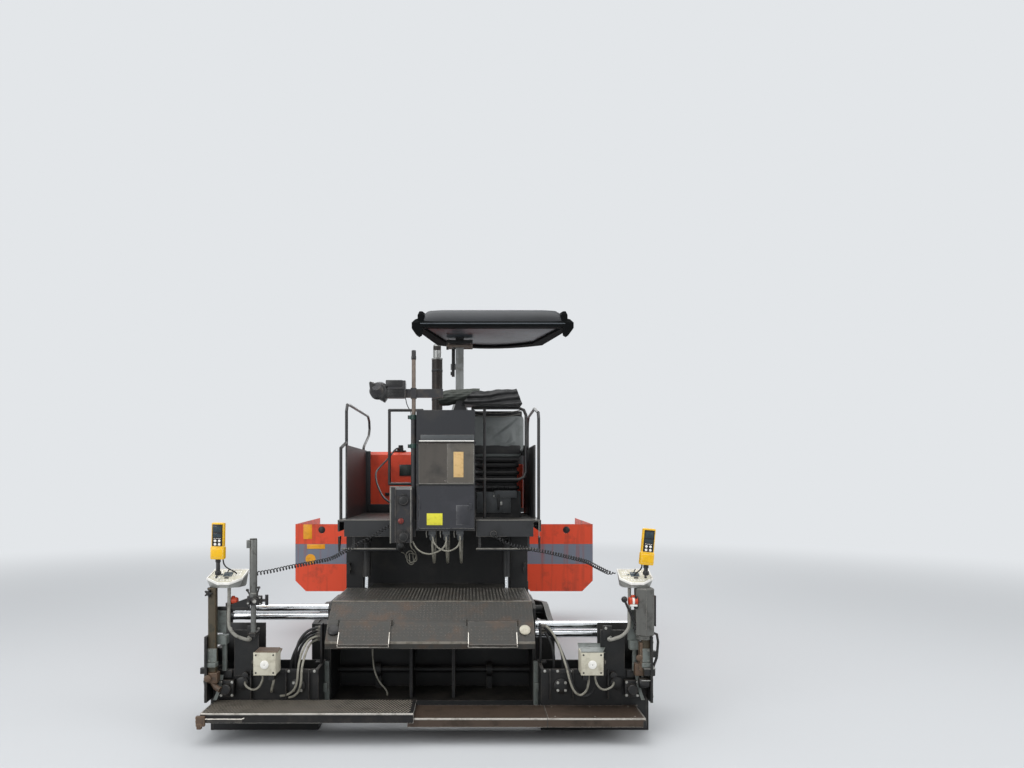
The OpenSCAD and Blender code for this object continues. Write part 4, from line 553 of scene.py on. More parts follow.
plate_grey = coat("plate_grey", "#6f7571", "#4c4d49", patch_mm=50, rough=0.5, metal=0.1, edge="#9a9a92", runs=0.3)
cap_orange = coat("cap_orange", "#c8401c", "#8e3015", patch_mm=30, rough=0.4, dust="#8e5d48")
tray_rise, tray_back = 0.5, -2.14
rims = {"left": [(-1.427, -2.14), (-1.452, -2.235), (-1.365, -2.289),
                 (-1.288, -2.289), (-1.214, -2.235), (-1.2, -2.14)],
        "right": [(1.24, -2.14), (1.241, -2.235), (1.305, -2.289),
                  (1.388, -2.289), (1.462, -2.235), (1.452, -2.14)]}


def lean(shape):
    """The shape sheared so that it lies on the tray's face, which rises by 1 in 2 away from the user."""
    points = shape[0].copy()
    points[:, 2] += tray_rise * (points[:, 1] - tray_back)
    return points, shape[1]


def shrunk(ring, by, z):
    """The ring drawn in towards its middle, at a height of its own."""
    ring = np.array(ring)
    mid = ring.mean(0)
    return np.c_[mid + (ring - mid) * (1 - by / np.linalg.norm(ring - mid, axis=1)[:, None]), np.full(len(ring), z)]


for side, rim in rims.items():
    far, sign = f"extension_{side}", -1 if side == "left" else 1
    node = f"panel_{side}"
    low = shrunk(rim, 0.024, 0.95)
    wall = shrunk(rim, 0.004, 1.047)
    wall[:, 2] += tray_rise * (wall[:, 1] - tray_back)
    waist = shrunk(rim, 0.018, 0.962)
    piece(f"tray_body_{side}", [loft([low, waist, wall])], tray_alloy, far, [node], smooth=20)
    lip = ((0.001, 1.046), (0.0, 1.049), (0.0, 1.057), (0.0015, 1.06),
           (0.0085, 1.06), (0.01, 1.056), (0.0105, 1.05))
    field = ((0.0115, 1.049), (0.0115, 1.0525), (0.0125, 1.0535))
    piece(f"tray_rim_{side}", [lean(loft([shrunk(rim, k, z) for k, z in lip]))],
          rim_alloy, far, [node], smooth=25)
    piece(f"tray_face_{side}",
          [lean(loft([shrunk(rim, k, z) for k, z in field]))], panel_enamel, far,
          [node])
    mid = sum(x for x, y in rim) / 6
    piece(f"tray_display_{side}",
          [lean(block((mid - 0.028, -2.212, 1.053), (mid + 0.03, -2.168, 1.0565), 0.002)),
           lean(block((mid - 0.05, -2.2, 1.053), (mid - 0.034, -2.188, 1.0565), 0.002))],
          display_glass, far, [node])
    keys = [(mid + a, b, 1.053) for a in (-0.075, -0.06, -0.045) for b in (-2.172, -2.19, -2.226)]
    keys += [(mid + a, b, 1.053) for a in (0.045, 0.062, 0.079) for b in (-2.162, -2.18, -2.198)]
    keys += [(mid + a, -2.252, 1.053) for a in (-0.048, -0.03, -0.012, 0.012, 0.03, 0.048)]
    keys += [(mid + a, -2.156, 1.053) for a in (-0.05, -0.02, 0.01)]
    piece(f"tray_keys_{side}",
          [lean(repeat(block((-0.0055, -0.0045, 0), (0.0055, 0.0045, 0.0035), 0.0015), keys))],
          key_white, far, [node])
    piece(f"tray_knobs_{side}",
          [lean(turned([(0.009, 0), (0.0085, 0.008), (0.006, 0.01)],
                       (mid + sign * 0.066, -2.223, 1.053), (0, 0, 1), 18)),
           lean(block((mid - 0.012, -2.234, 1.053), (mid + 0.016, -2.226, 1.06), 0.003)),
           tilt(block((mid - 0.003, -2.19, 1.04), (mid + 0.003, -2.184, 1.066), 0.002),
                (mid, -2.187, 1.05), (0, 1, 0), 25)],
          hard_black, far, [node])
    plate = 0.5 * (rim[2][0] + rim[3][0])
    piece(f"tray_plate_{side}",
          [block((plate - 0.026, -2.272, 0.957), (plate + 0.026, -2.264, 0.977), 0.0015)],
          panel_enamel, far, [node])

# Posts. Each spindle runs in its tube from the end plate's foot to the tray; a clamp and a cover plate hold it.
for side, sign, top in (("left", -1, 0.951), ("right", 1, 0.643)):
    far, node = f"extension_{side}", f"panel_{side}"
    piece(f"stand_post_{side}",
          [block((sign * 1.43, -2.275, 0.405), (sign * 1.38, -2.225, top), 0.006)],
          post_rust, far, [node])
    corners = [(sign * x, -2.2832, z) for z in (0.482, 0.548) for x in (1.42, 1.384)]
    cover = [block((sign * 1.43, -2.283, 0.47), (sign * 1.372, -2.274, 0.56), 0.002),
             block((sign * 1.438, -2.29, 0.44), (sign * 1.376, -2.226, 0.468), 0.004)]
    piece(f"stand_cover_{side}", cover + bolts(corners, (0, -1, 0), 0.005), plate_grey, far, [node])
a = np.arange(60) * np.pi / 30
lobed = (0.02 * (1 + 0.38 * np.cos(5 * a)))[:, None] * np.stack([np.cos(a), np.sin(a)], 1)
knob = [np.c_[-1.422 + lobed[:, 0] * k, np.full(60, y), 0.918 + lobed[:, 1] * k]
        for k, y in ((0.5, -2.274), (0.92, -2.276), (1.0, -2.281), (1.0, -2.29), (0.9, -2.2965), (0.45, -2.2985))]
piece("stand_knob_left",
      [loft(knob), turned([(0.006, 0), (0.006, 0.005)], (-1.422, -2.298, 0.918), (0, -1, 0), 12),
       block((-1.436, -2.268, 0.9355), (-1.408, -2.232, 0.952), 0.004)],
      hard_black, "extension_left", ["panel_left"])
a = np.radians(60 * np.arange(6))
hexagon = [np.c_[1.398 + np.sin(a) * r, -2.25 + np.cos(a) * r, np.full(6, z)]
           for r, z in ((0.06, 0.642), (0.067, 0.65), (0.067, 0.944), (0.06, 0.951))]
piece("stand_column_right",
      [loft(hexagon),
       turned([(0.05, 0.618), (0.052, 0.622), (0.052, 0.64), (0.045, 0.644)], (1.398, -2.25, 0), (0, 0, 1), 28)],
      column_grey, "extension_right", ["panel_right"], smooth=25)
piece("stand_lever_right",
      [pipe([(1.346, -2.27, 0.7), (1.316, -2.277, 0.76), (1.27, -2.288, 0.86), (1.264, -2.29, 0.87)], 0.0075, 12),
       turned([(0.006, -0.021), (0.012, -0.0165), (0.018, -0.009), (0.02, 0),
               (0.018, 0.009), (0.012, 0.0165), (0.005, 0.0195)],
              (1.262, -2.29, 0.88), (0, 0, 1), 24),
       turned([(0.014, 0), (0.014, 0.01), (0.01, 0.012)], (1.334, -2.272, 0.692), (0.3, -1, 0), 16)],
      hard_black, "extension_right", ["panel_right"])
piece("stand_cap_right",
      [turned([(0.02, 0), (0.026, 0.004), (0.026, 0.056), (0.02, 0.06)], (1.29, -2.28, 0.868), (1, 0, 0), 28),
       turned([(0.004, 0), (0.014, 0.003), (0.014, 0.012), (0.01, 0.015)], (1.32, -2.28, 0.892), (0, 0, 1), 16)],
      cap_orange, "extension_right", ["panel_right"])
piece("stand_cap_band_right",
      [turned([(0.0262, 0), (0.0268, 0.002), (0.0268, 0.012), (0.0262, 0.014)],
              (1.313, -2.28, 0.868), (1, 0, 0), 28),
       block((1.296, -2.306, 0.836), (1.344, -2.262, 0.848), 0.003)],
      rim_alloy, "extension_right", ["panel_right"])
piece("stand_bracket_right",
      [block((1.33, -2.3, 0.82), (1.342, -2.25, 0.9), 0.002),
       block((1.3, -2.262, 0.83), (1.34, -2.245, 0.85), 0.002),
       block((1.466, -2.262, 0.7), (1.474, -2.238, 0.9), 0.003),
       block((1.44, -2.27, 0.5), (1.475, -2.225, 0.54), 0.004)],
      hard_black, "extension_right")

# Handsets: a black face with a display, indicator row and four white keys in the yellow case, on a short dark post
for side, x, z, turn in (("left", -1.3685, 1.137, 1.0), ("right", 1.4085, 1.1, 5.0)):
    far, at = f"extension_{side}", (x, -2.258, z)
    node = f"handset_{side}"
    case = [block((x - 0.044, -2.287, z), (x + 0.044, -2.231, z + 0.083), 0.009),
            block((x - 0.0405, -2.28, z + 0.07), (x + 0.0405, -2.237, z + 0.236), 0.007),
            block((x - 0.036, -2.2885, z + 0.014), (x + 0.036, -2.286, z + 0.068), 0.003)]
    face = [block((x - 0.033, -2.2825, z + 0.086), (x + 0.033, -2.279, z + 0.226), 0.003)]
    glass = [block((x - 0.025, -2.2838, z + a), (x + 0.025, -2.282, z + b), 0.001)
             for a, b in ((0.175, 0.214), (0.144, 0.166))]
    marks = [block((x + a - 0.004, -2.2838, z + 0.134), (x + a + 0.004, -2.282, z + 0.137), 0.0008)
             for a in (-0.018, -0.006, 0.006, 0.018)]
    marks += [turned([(0.0085, 0), (0.0085, 0.002), (0.006, 0.0032)], (x + a, -2.282, z + b), (0, -1, 0), 20)
              for a in (-0.0135, 0.0135) for b in (0.12, 0.0975)]
    for what, shapes, finish, slot in (("case", case, handset_yellow, "handset_yellow"),
                                       ("face", face, hard_black, "console_plastic"),
                                       ("display", glass, display_glass, "console_plastic"),
                                       ("keys", marks, key_white, "console_plastic")):
        piece(f"handset_{what}_{side}", [tilt(s, at, (0, 1, 0), turn) for s in shapes], finish, far, [node])
    low = 1.03
    piece(f"handset_post_{side}",
          [turned([(0.013, 0), (0.013, z - low + 0.003), (0.011, z - low + 0.006)],
                  (x, -2.258, low), (0, 0, 1), 20),
           turned([(0.019, 0), (0.02, 0.004), (0.02, 0.02), (0.017, 0.024)],
                  (x, -2.258, low + 0.005), (0, 0, 1), 20),
           turned([(0.017, 0), (0.017, 0.018)], (x, -2.258, z - 0.02), (0, 0, 1), 20)],
          hard_black, far, [f"panel_{side}"])
handset_leads = {"left": [(-1.338, -2.25, 1.1375), (-1.337, -2.25, 1.12), (-1.332, -2.247, 1.1),
                          (-1.318, -2.24, 1.08), (-1.296, -2.22, 1.062), (-1.275, -2.2, 1.045),
                          (-1.268, -2.19, 1.034)],
                 "right": [(1.384, -2.25, 1.1), (1.383, -2.25, 1.087), (1.379, -2.247, 1.074),
                           (1.37, -2.24, 1.06), (1.356, -2.225, 1.045), (1.345, -2.21, 1.028)]}
for side, way in handset_leads.items():
    cord(f"handset_lead_{side}", way, 0.009, lead_rubber, f"extension_{side}")

# Junction boxes of the screed's heating: cast cases, cream, with a screwed lid, a white round cap, a ribbed cable
# gland on the outer side and a rusty guard plate laid over them.
box_cream = coat("box_cream", "#cbc6b4", "#a39c88", patch_mm=60, rough=0.42, grain_mm=2,
                 bump=0.08, edge="#857d6d", dust="#8c8474", runs=0.25)
guard_rust = coat("guard_rust", "#5d4a3b", "#403a33", patch_mm=40, rough=0.55,
                  metal=0.2, edge="#a08a72", grain_mm=3, bump=0.4)
oily_black = coat("oily_black", "#101011", "#26221e", patch_mm=50, rough=0.45,
                  grain_mm=3, bump=0.3, edge="#57524b", dust="#3d3832")
zinc_bright = coat("zinc_bright", "#b9b8b2", "#807c73", patch_mm=20, rough=0.32, metal=0.8, grain_mm=2, bump=0.1)
oily_steel = coat("oily_steel", "#6a665f", "#3b3732", patch_mm=30, rough=0.4, metal=0.6, grain_mm=3, bump=0.3)
guards = {"left": [([(-1.11, -2.3235), (-0.966, -2.3235), (-0.98, -2.192), (-1.117, -2.192)], 0.5446),
                   ([(-1.117, -2.187), (-0.98, -2.187), (-0.996, -2.07), (-1.123, -2.07)], 0.512)],
          "right": [([(0.98, -2.3235), (1.118, -2.3235), (1.155, -2.192), (0.991, -2.192)], 0.5446),
                    ([(1.156, -2.187), (0.991, -2.187), (1.015, -1.9), (1.236, -1.9)], 0.512)]}
for side, sign in (("left", -1), ("right", 1)):
    far, x = f"extension_{side}", 1.05 * sign
    piece(f"junction_case_{side}",
          [block((x - 0.0715, -2.31, 0.3985), (x + 0.0715, -2.189, 0.5435), 0.006),
           block((x - 0.0725, -2.3245, 0.3975), (x + 0.0725, -2.3105, 0.5445), 0.007)],
          box_cream, far)
    piece(f"junction_cap_{side}",
          [turned([(0.026, 0), (0.0275, 0.002), (0.0265, 0.008), (0.02, 0.0105), (0.007, 0.0105), (0.006, 0.009)],
                  (x, -2.3242, 0.467), (0, -1, 0), 36)],
          key_white, far)
    piece(f"junction_screws_{side}",
          [repeat(turned([(0.0062, 0), (0.0058, 0.0015), (0.002, 0.0015)], (0, 0, 0), (0, -1, 0), 14),
                  [(x + a, -2.3243, b) for a in (-0.056, 0.056) for b in (0.414, 0.528)]),
           turned([(0.003, 0), (0.002, 0.001)], (x, -2.333, 0.467), (0, -1, 0), 10)],
          oily_black, far)
    gland = [(0.027, 0), (0.027, 0.004), (0.021, 0.005)] + [
        (r, 0.005 + 0.003 * k + d) for k in range(5)
        for r, d in ((0.0215, 0.0002), (0.024, 0.001), (0.024, 0.002), (0.0215, 0.0028))]
    piece(f"junction_gland_{side}",
          [turned(gland + [(0.014, 0.021), (0.012, 0.026)], (x + 0.0715 * sign, -2.255, 0.467), (sign, 0, 0), 24)],
          oily_steel, far)
    piece(f"junction_guard_{side}",
          [loft([np.c_[lid, np.full(4, z)], np.c_[lid, np.full(4, z + 0.006)]]) for lid, z in guards[side]],
          guard_rust if side == "left" else plate_grey, far)

# Extension machinery. Behind the junction boxes the boxes of the extensions carry ribs, bearing covers, the height
# spindle's gear case and clamps, all black with oily dust; bolt heads are zinc-plated and wiped bright.
for side, sign in (("left", -1), ("right", 1)):
    far = f"extension_{side}"


    def across(*pairs):
        """Blocks given on the right and mirrored to this side."""
        return [block((sign * a[0], a[1], a[2]), (sign * b[0], b[1], b[2]), r) for a, b, r in pairs]


    black = across(((0.79, -2.196, 0.209), (0.798, -2.169, 0.4), 0.002),
                   ((0.94, -2.196, 0.209), (0.948, -2.169, 0.4), 0.002),
                   ((1.17, -2.2, 0.209), (1.178, -2.169, 0.4), 0.002),
                   ((1.28, -2.22, 0.23), (1.372, -2.169, 0.34), 0.008),
                   ((1.3, -2.19, 0.35), (1.37, -2.169, 0.398), 0.004),
                   ((0.735, -2.174, 0.376), (1.372, -2.169, 0.402), 0.002),
                   ((0.742, -2.0, 0.395), (0.756, -1.93, 0.665), 0.003),
                   ((0.756, -2.0, 0.395), (0.79, -1.93, 0.41), 0.003),
                   ((1.15, -1.912, 0.395), (1.428, -1.9, 0.66), 0.003),
                   ((1.14, -2.19, 0.6), (1.2, -2.177, 0.69), 0.004),
                   ((0.995, -2.3, 0.36), (1.03, -2.19, 0.3975), 0.004),
                   ((1.395, -2.06, 0.44), (1.429, -1.99, 0.52), 0.004))
    black += [turned([(0.048, 0), (0.05, 0.003), (0.05, 0.012), (0.042, 0.016), (0.02, 0.017)],
                     (sign * 0.87, -2.17, 0.29), (0, -1, 0), 32),
              turned([(0.04, 0), (0.042, 0.003), (0.042, 0.014), (0.03, 0.019)],
                     (sign * 1.235, -2.17, 0.31), (0, -1, 0), 32),
              turned([(0.033, 0), (0.035, 0.004), (0.035, 0.03), (0.03, 0.036), (0.012, 0.037)],
                     (sign * 1.326, -2.22, 0.285), (0, -1, 0), 28),
              turned([(0.02, 0), (0.02, 0.05), (0.014, 0.052)], (sign * 1.205, -2.17, 0.372), (0, -1, 0), 20)]
    piece(f"extension_fittings_{side}", black, oily_black, far)
    spots = [(sign * a, -2.1742, 0.389) for a in np.arange(0.76, 1.36, 0.085)]
    spots += [(sign * (0.87 + 0.036 * c), -2.1868, 0.29 + 0.036 * s)
              for c, s in ((0.7, 0.7), (-0.7, 0.7), (-0.7, -0.7), (0.7, -0.7))]
    spots += [(sign * a, -2.2202, b) for a in (1.29, 1.362) for b in (0.242, 0.328)]
    spots += [(sign * 1.4, -2.2, 0.36), (sign * 1.16, -2.1902, 0.675), (sign * 1.19, -2.1902, 0.615),
              (sign * 1.2, -1.9122, 0.62), (sign * 1.39, -1.9122, 0.62)]
    piece(f"extension_bolts_{side}", bolts(spots, (0, -1, 0), 0.0075), zinc_bright, far)
    rim = [(sign * 1.4455, y, z)
           for y, z in ((-2.27, 0.25), (-2.27, 0.44), (-2.2, 0.6), (-2.27, 0.6), (-2.02, 0.5), (-1.8, 0.46),
                        (-1.8, 0.4), (-1.55, 0.2), (-1.9, 0.3), (-1.9, 0.1), (-2.1, 0.1), (-2.1, 0.3))]
    piece(f"end_plate_bolts_{side}", bolts(rim, (sign, 0, 0), 0.011), zinc_bright, far)
    strip = [np.array([(sign * (1.352 + 0.03 * t * t), -2.2 - 0.045 * t, 0.37 - 0.15 * t)])
             + [(0, 0.004, 0), (sign * 0.022, 0.004, 0), (sign * 0.022, -0.004, 0), (0, -0.004, 0)]
             for t in np.linspace(0, 1, 7)]
    piece(f"end_strip_{side}", [loft(strip)], plate_grey, far)

# Left side: T-handled valve on its pole, black gusset with a red cap on an arm beside it, grey plates at the post
pole_steel = coat("pole_steel", "#6b6c69", "#46443f", patch_mm=40, rough=0.42, metal=0.4, edge="#9b9890", runs=0.4)
piece("pole_sleeve",
      [turned([(0.0238, 0.9), (0.0242, 0.904), (0.0242, 1.262), (0.02, 1.2715)],
              (-1.138, -2.262, 0), (0, 0, 1), 28),
       turned([(0.017, 0.664), (0.017, 0.845)], (-1.138, -2.262, 0), (0, 0, 1), 20),
       turned([(0.028, 0.893), (0.03, 0.898), (0.03, 0.915), (0.024, 0.92)], (-1.138, -2.262, 0), (0, 0, 1), 28),
       block((-1.176, -2.29, 1.21), (-1.15, -2.265, 1.262), 0.003)],
      pole_steel, "extension_left")
valve = [block((-1.174, -2.286, 0.84), (-1.084, -2.236, 0.9), 0.006),
         turned([(0.02, 0), (0.022, 0.003), (0.022, 0.018), (0.012, 0.022)],
                (-1.118, -2.286, 0.87), (0, -1, 0), 24),
         pipe([(-1.1, -2.262, 0.87), (-1.052, -2.262, 0.87)], 0.0096, 12),
         pipe([(-1.0515, -2.262, 0.838), (-1.0515, -2.262, 0.906)], 0.0108, 12),
         pipe([(-1.12, -2.27, 0.895), (-1.105, -2.275, 0.93), (-1.098, -2.28, 0.95)], 0.005, 8),
         pipe([(-1.15, -2.27, 0.895), (-1.165, -2.275, 0.92), (-1.172, -2.28, 0.935)], 0.005, 8),
         turned([(0.008, 0), (0.011, 0.005), (0.008, 0.014)], (-1.098, -2.28, 0.948), (0, 0, 1), 16),
         turned([(0.008, 0), (0.011, 0.005), (0.008, 0.014)], (-1.172, -2.28, 0.932), (0, 0, 1), 16),
         turned([(0.011, 0), (0.012, 0.003), (0.012, 0.02)], (-1.16, -2.286, 0.858), (0, -1, 0), 18)]
piece("pole_valve", valve, oily_black, "extension_left")
piece("pole_valve_ends",
      [turned([(0.012, 0), (0.013, 0.002), (0.012, 0.006)], (-1.118, -2.308, 0.87), (0, -1, 0), 20),
       turned([(0.006, 0), (0.006, 0.006)], (-1.16, -2.306, 0.858), (0, -1, 0), 6)]
      + bolts([(-1.09, -2.2862, 0.85), (-1.09, -2.2862, 0.89)], (0, -1, 0), 0.005),
      zinc_bright, "extension_left")
gusset = np.array([(-1.33, 0.812), (-1.33, 0.824), (-1.2, 0.872), (-1.185, 0.872), (-1.185, 0.812)])
piece("guide_gusset_left",
      [loft([np.c_[gusset[:, 0], np.full(5, y), gusset[:, 1]] for y in (-2.215, -2.165)]),
       block((-1.4, -2.212, 0.796), (-1.18, -2.19, 0.82), 0.003)],
      oily_black, "extension_left")
piece("guide_cap_left",
      [turned([(0.019, 0), (0.024, 0.004), (0.024, 0.05), (0.018, 0.055)], (-1.315, -2.19, 0.856), (1, 0, 0), 24),
       turned([(0.006, 0), (0.012, 0.003), (0.012, 0.012), (0.008, 0.015)], (-1.29, -2.19, 0.874), (0, 0, 1), 14)],
      cap_orange, "extension_left")
piece("post_plates_left",
      [block((-1.392, -2.212, 0.648), (-1.33, -2.2, 0.795), 0.002),
       block((-1.392, -2.235, 0.576), (-1.322, -2.17, 0.636), 0.005),
       block((-1.36, -2.2, 0.396), (-1.333, -2.176, 0.58), 0.003)],
      plate_grey, "extension_left")
piece("post_plates_right",
      [block((1.3, -2.212, 0.6), (1.375, -2.2, 0.8), 0.002),
       block((1.31, -2.23, 0.54), (1.38, -2.17, 0.6), 0.005),
       block((1.335, -2.2, 0.396), (1.36, -2.176, 0.545), 0.003)],
      plate_grey, "extension_right")
piece("post_clamp_left",
      [block((-1.432, -2.285, 0.335), (-1.365, -2.215, 0.405), 0.012),
       pipe([(-1.41, -2.25, 0.34), (-1.38, -2.262, 0.305), (-1.352, -2.27, 0.292)], 0.019, 16),
       turned([(0.018, 0), (0.022, 0.004), (0.022, 0.016), (0.016, 0.02)],
              (-1.425, -2.285, 0.37), (0, -1, 0), 20)],
      guard_rust, "extension_left")
piece("post_clamp_right",
      [block((1.365, -2.285, 0.42), (1.382, -2.215, 0.6), 0.01),
       block((1.335, -2.27, 0.38), (1.4, -2.215, 0.46), 0.014),
       turned([(0.016, 0), (0.02, 0.004), (0.02, 0.016), (0.014, 0.02)], (1.36, -2.27, 0.5), (0, -1, 0), 20)],
      guard_rust, "extension_right")
piece("post_handles",
      [block((-1.484, -2.268, 0.392), (-1.444, -2.235, 0.432), 0.006),
       pipe([(-1.444, -2.25, 0.4), (-1.458, -2.252, 0.34), (-1.446, -2.26, 0.3)], 0.008, 10)],
      oily_black, "extension_left")
piece("post_handles_right",
      [block((1.39, -2.292, 0.385), (1.462, -2.24, 0.432), 0.005),
       turned([(0.03, 0), (0.033, 0.005), (0.033, 0.06), (0.028, 0.066)], (1.362, -2.262, 0.335), (1, 0, 0), 26),
       pipe([(1.452, -2.26, 0.43), (1.478, -2.262, 0.5), (1.486, -2.262, 0.6),
             (1.478, -2.262, 0.65), (1.45, -2.26, 0.66)],
            0.0085, 12)],
      oily_black, "extension_right")
piece("post_handle_edge_right",
      [block((1.388, -2.294, 0.4305), (1.464, -2.238, 0.4345), 0.0015),
       block((1.37, -2.298, 0.355), (1.43, -2.295, 0.36), 0.001)],
      zinc_bright, "extension_right")

# Hoses of the extensions: black and pale hydraulic and burner hoses come out of a bracket at the inner end, drop
# over the box's edge and go into it, or loop to the junction box. Each is clamped in a fitting at its bracket.
hose_ways = {"left": [("black",
                       [(-0.757, -1.985, 0.64), (-0.79, -1.99, 0.638), (-0.85, -2.0, 0.61), (-0.895, -2.02, 0.55),
                        (-0.915, -2.04, 0.46), (-0.918, -2.05, 0.36), (-0.91, -2.055, 0.2), (-0.9, -2.06, 0.06)]),
                      ("black",
                       [(-0.757, -1.965, 0.615), (-0.8, -1.97, 0.61), (-0.86, -1.99, 0.575), (-0.91, -2.02, 0.51),
                        (-0.94, -2.05, 0.42), (-0.945, -2.065, 0.32), (-0.94, -2.07, 0.2), (-0.93, -2.07, 0.06)]),
                      ("black",
                       [(-0.757, -1.94, 0.59), (-0.81, -1.945, 0.58), (-0.87, -1.96, 0.54), (-0.905, -1.98, 0.47),
                        (-0.91, -1.99, 0.38), (-0.9, -1.99, 0.2), (-0.89, -1.99, 0.06)]),
                      ("pale",
                       [(-0.757, -1.99, 0.585), (-0.79, -2.0, 0.58), (-0.83, -2.04, 0.56), (-0.852, -2.1, 0.51),
                        (-0.86, -2.165, 0.455), (-0.862, -2.2, 0.41), (-0.866, -2.21, 0.34),
                        (-0.885, -2.205, 0.28), (-0.93, -2.19, 0.24), (-0.985, -2.1745, 0.225)]),
                      ("pale",
                       [(-0.757, -1.975, 0.56), (-0.785, -1.985, 0.555), (-0.815, -2.03, 0.54), (-0.83, -2.1, 0.5),
                        (-0.836, -2.17, 0.445), (-0.838, -2.205, 0.4), (-0.84, -2.213, 0.33),
                        (-0.855, -2.205, 0.27), (-0.89, -2.19, 0.23), (-0.93, -2.1745, 0.215)]),
                      ("pale",
                       [(-1.005, -2.255, 0.3975), (-1.006, -2.255, 0.37), (-1.012, -2.252, 0.33),
                        (-1.026, -2.235, 0.29), (-1.036, -2.205, 0.262), (-1.04, -2.1745, 0.255)])],
             "right": [("pale",
                        [(0.757, -1.985, 0.652), (0.79, -1.99, 0.65), (0.835, -2.02, 0.6), (0.868, -2.08, 0.53),
                         (0.89, -2.15, 0.46), (0.905, -2.205, 0.4), (0.92, -2.23, 0.335), (0.945, -2.24, 0.275),
                         (0.985, -2.245, 0.25), (1.022, -2.25, 0.28), (1.036, -2.252, 0.33),
                         (1.038, -2.254, 0.3975)]),
                       ("black",
                        [(0.757, -1.965, 0.63), (0.79, -1.97, 0.628), (0.842, -1.99, 0.575),
                         (0.878, -2.06, 0.505), (0.905, -2.14, 0.44), (0.922, -2.2, 0.385),
                         (0.938, -2.222, 0.32), (0.965, -2.222, 0.262), (1.01, -2.225, 0.235),
                         (1.06, -2.23, 0.26), (1.083, -2.24, 0.32), (1.084, -2.242, 0.3975)]),
                       ("black",
                        [(0.757, -1.945, 0.61), (0.8, -1.95, 0.6), (0.855, -1.965, 0.55), (0.89, -1.99, 0.48),
                         (0.9, -2.01, 0.38), (0.9, -2.02, 0.2), (0.89, -2.02, 0.06)]),
                       ("black",
                        [(0.757, -1.974, 0.604), (0.787, -1.98, 0.598), (0.82, -2.01, 0.535), (0.835, -2.03, 0.46),
                         (0.836, -2.04, 0.36), (0.83, -2.04, 0.2), (0.82, -2.04, 0.06)])]}
for side, ways in hose_ways.items():
    sign = -1 if side == "left" else 1
    for k, (kind, way) in enumerate(ways):
        cord(f"extension_hose_{side}_{k + 1}", way, 0.015 if kind == "pale" else 0.019,
             pale_lead if kind == "pale" else lead_rubber, f"extension_{side}",
             sides=8)
    ends = [way[0] for kind, way in ways if abs(way[0][0]) < 0.8]
    piece(f"hose_fittings_{side}",
          [turned([(0.014, 0), (0.014, 0.016), (0.0115, 0.017), (0.0115, 0.034), (0.0095, 0.036)],
                  (sign * 0.7555, y, z), (sign, 0, 0), 6)
           for x, y, z in ends],
          oily_steel, f"extension_{side}")
cord("burner_hose",
     [(-0.43, -1.74, 0.4795), (-0.43, -1.74, 0.45), (-0.428, -1.742, 0.38), (-0.415, -1.75, 0.29),
      (-0.38, -1.755, 0.21), (-0.34, -1.75, 0.16), (-0.325, -1.745, 0.13), (-0.324, -1.745, 0.1105)],
     0.012, pale_lead, "screed", sides=8)

# Footboards. Left: close slanting bars rolled into black plate, bright along its trodden rear edge, with a slot
# below shown as flat black sheets of painted shade, and a rusty end bracket. Right: bare brown steel worn smooth,
# joined in two, bright on its edges.
bar = np.array([(0.0125, 0.0022), (-0.0125, 0.0022), (-0.0125, -0.0022), (0.0125, -0.0022)])
spin = np.radians(62)
bar = bar @ np.array([[np.cos(spin), np.sin(spin)], [-np.sin(spin), np.cos(spin)]])
i, j = (k.ravel() for k in np.meshgrid(np.arange(62), np.arange(11)))
spots = np.c_[-1.394 + i * 0.0208 + (j % 2) * 0.0104, -2.448 + j * 0.0255, np.full(len(i), 0.2)]
one = loft([np.c_[bar * k, np.full(4, z)] for k, z in ((1, -0.0005), (0.9, 0.0016), (0.75, 0.0022))])
board_bars = coat("board_bars", "#b9af9f", "#7d7365", patch_mm=90, rough=0.38, metal=0.6,
                  edge="#b0aaa0", worn=0.6, edge_mm=1.5, grain_mm=3)
piece("board_bars_left", [repeat(one, spots[spots[:, 0] < -0.097])], board_bars, "extension_left")
piece("board_edges_left",
      [block((-1.411, -2.4763, 0.19), (-0.085, -2.466, 0.2012), 0.003),
       block((-1.4112, -2.47, 0.192), (-1.403, -2.18, 0.2012), 0.002),
       pipe([(-1.4, -2.4785, 0.166), (-1.15, -2.4785, 0.166), (-1.135, -2.477, 0.172)], 0.0035, 8)],
      bright_steel, "extension_left")
piece("board_slot_shade_left",
      [block((-1.395, -2.4762, 0.144), (-1.15, -2.475, 0.163), 0.001),
       block((-1.36, -2.476, 0.142), (-1.19, -2.4775, 0.152), 0.001)],
      oily_black, "extension_left")
piece("board_end_left",
      [block((-1.434, -2.492, 0.122), (-1.378, -2.467, 0.186), 0.006),
       block((-1.428, -2.494, 0.105), (-1.398, -2.467, 0.14), 0.005)]
      + bolts([(-1.434, -2.479, 0.15), (-1.434, -2.479, 0.172)], (-1, 0, 0), 0.005),
      guard_rust, "extension_left")
piece("board_edges_right",
      [block((-0.125, -2.4613, 0.155), (1.361, -2.452, 0.1662), 0.003),
       block((1.3525, -2.455, 0.157), (1.3612, -2.18, 0.1664), 0.002)],
      bright_steel, "extension_right")
piece("board_joint_right",
      [block((0.747, -2.4625, 0.112), (0.7515, -2.18, 0.1657), 0.0004),
       block((1.345, -2.462, 0.105), (1.366, -2.44, 0.15), 0.003)],
      oily_black, "extension_right")
piece("board_plate_right",
      [block((0.754, -2.4605, 0.164), (1.35, -2.19, 0.1672), 0.0012)]
      + bolts([(x, y, 0.1672) for x in (0.8, 1.05, 1.3) for y in (-2.43, -2.22)], (0, 0, 1), 0.003),
      board_rust, "extension_right")

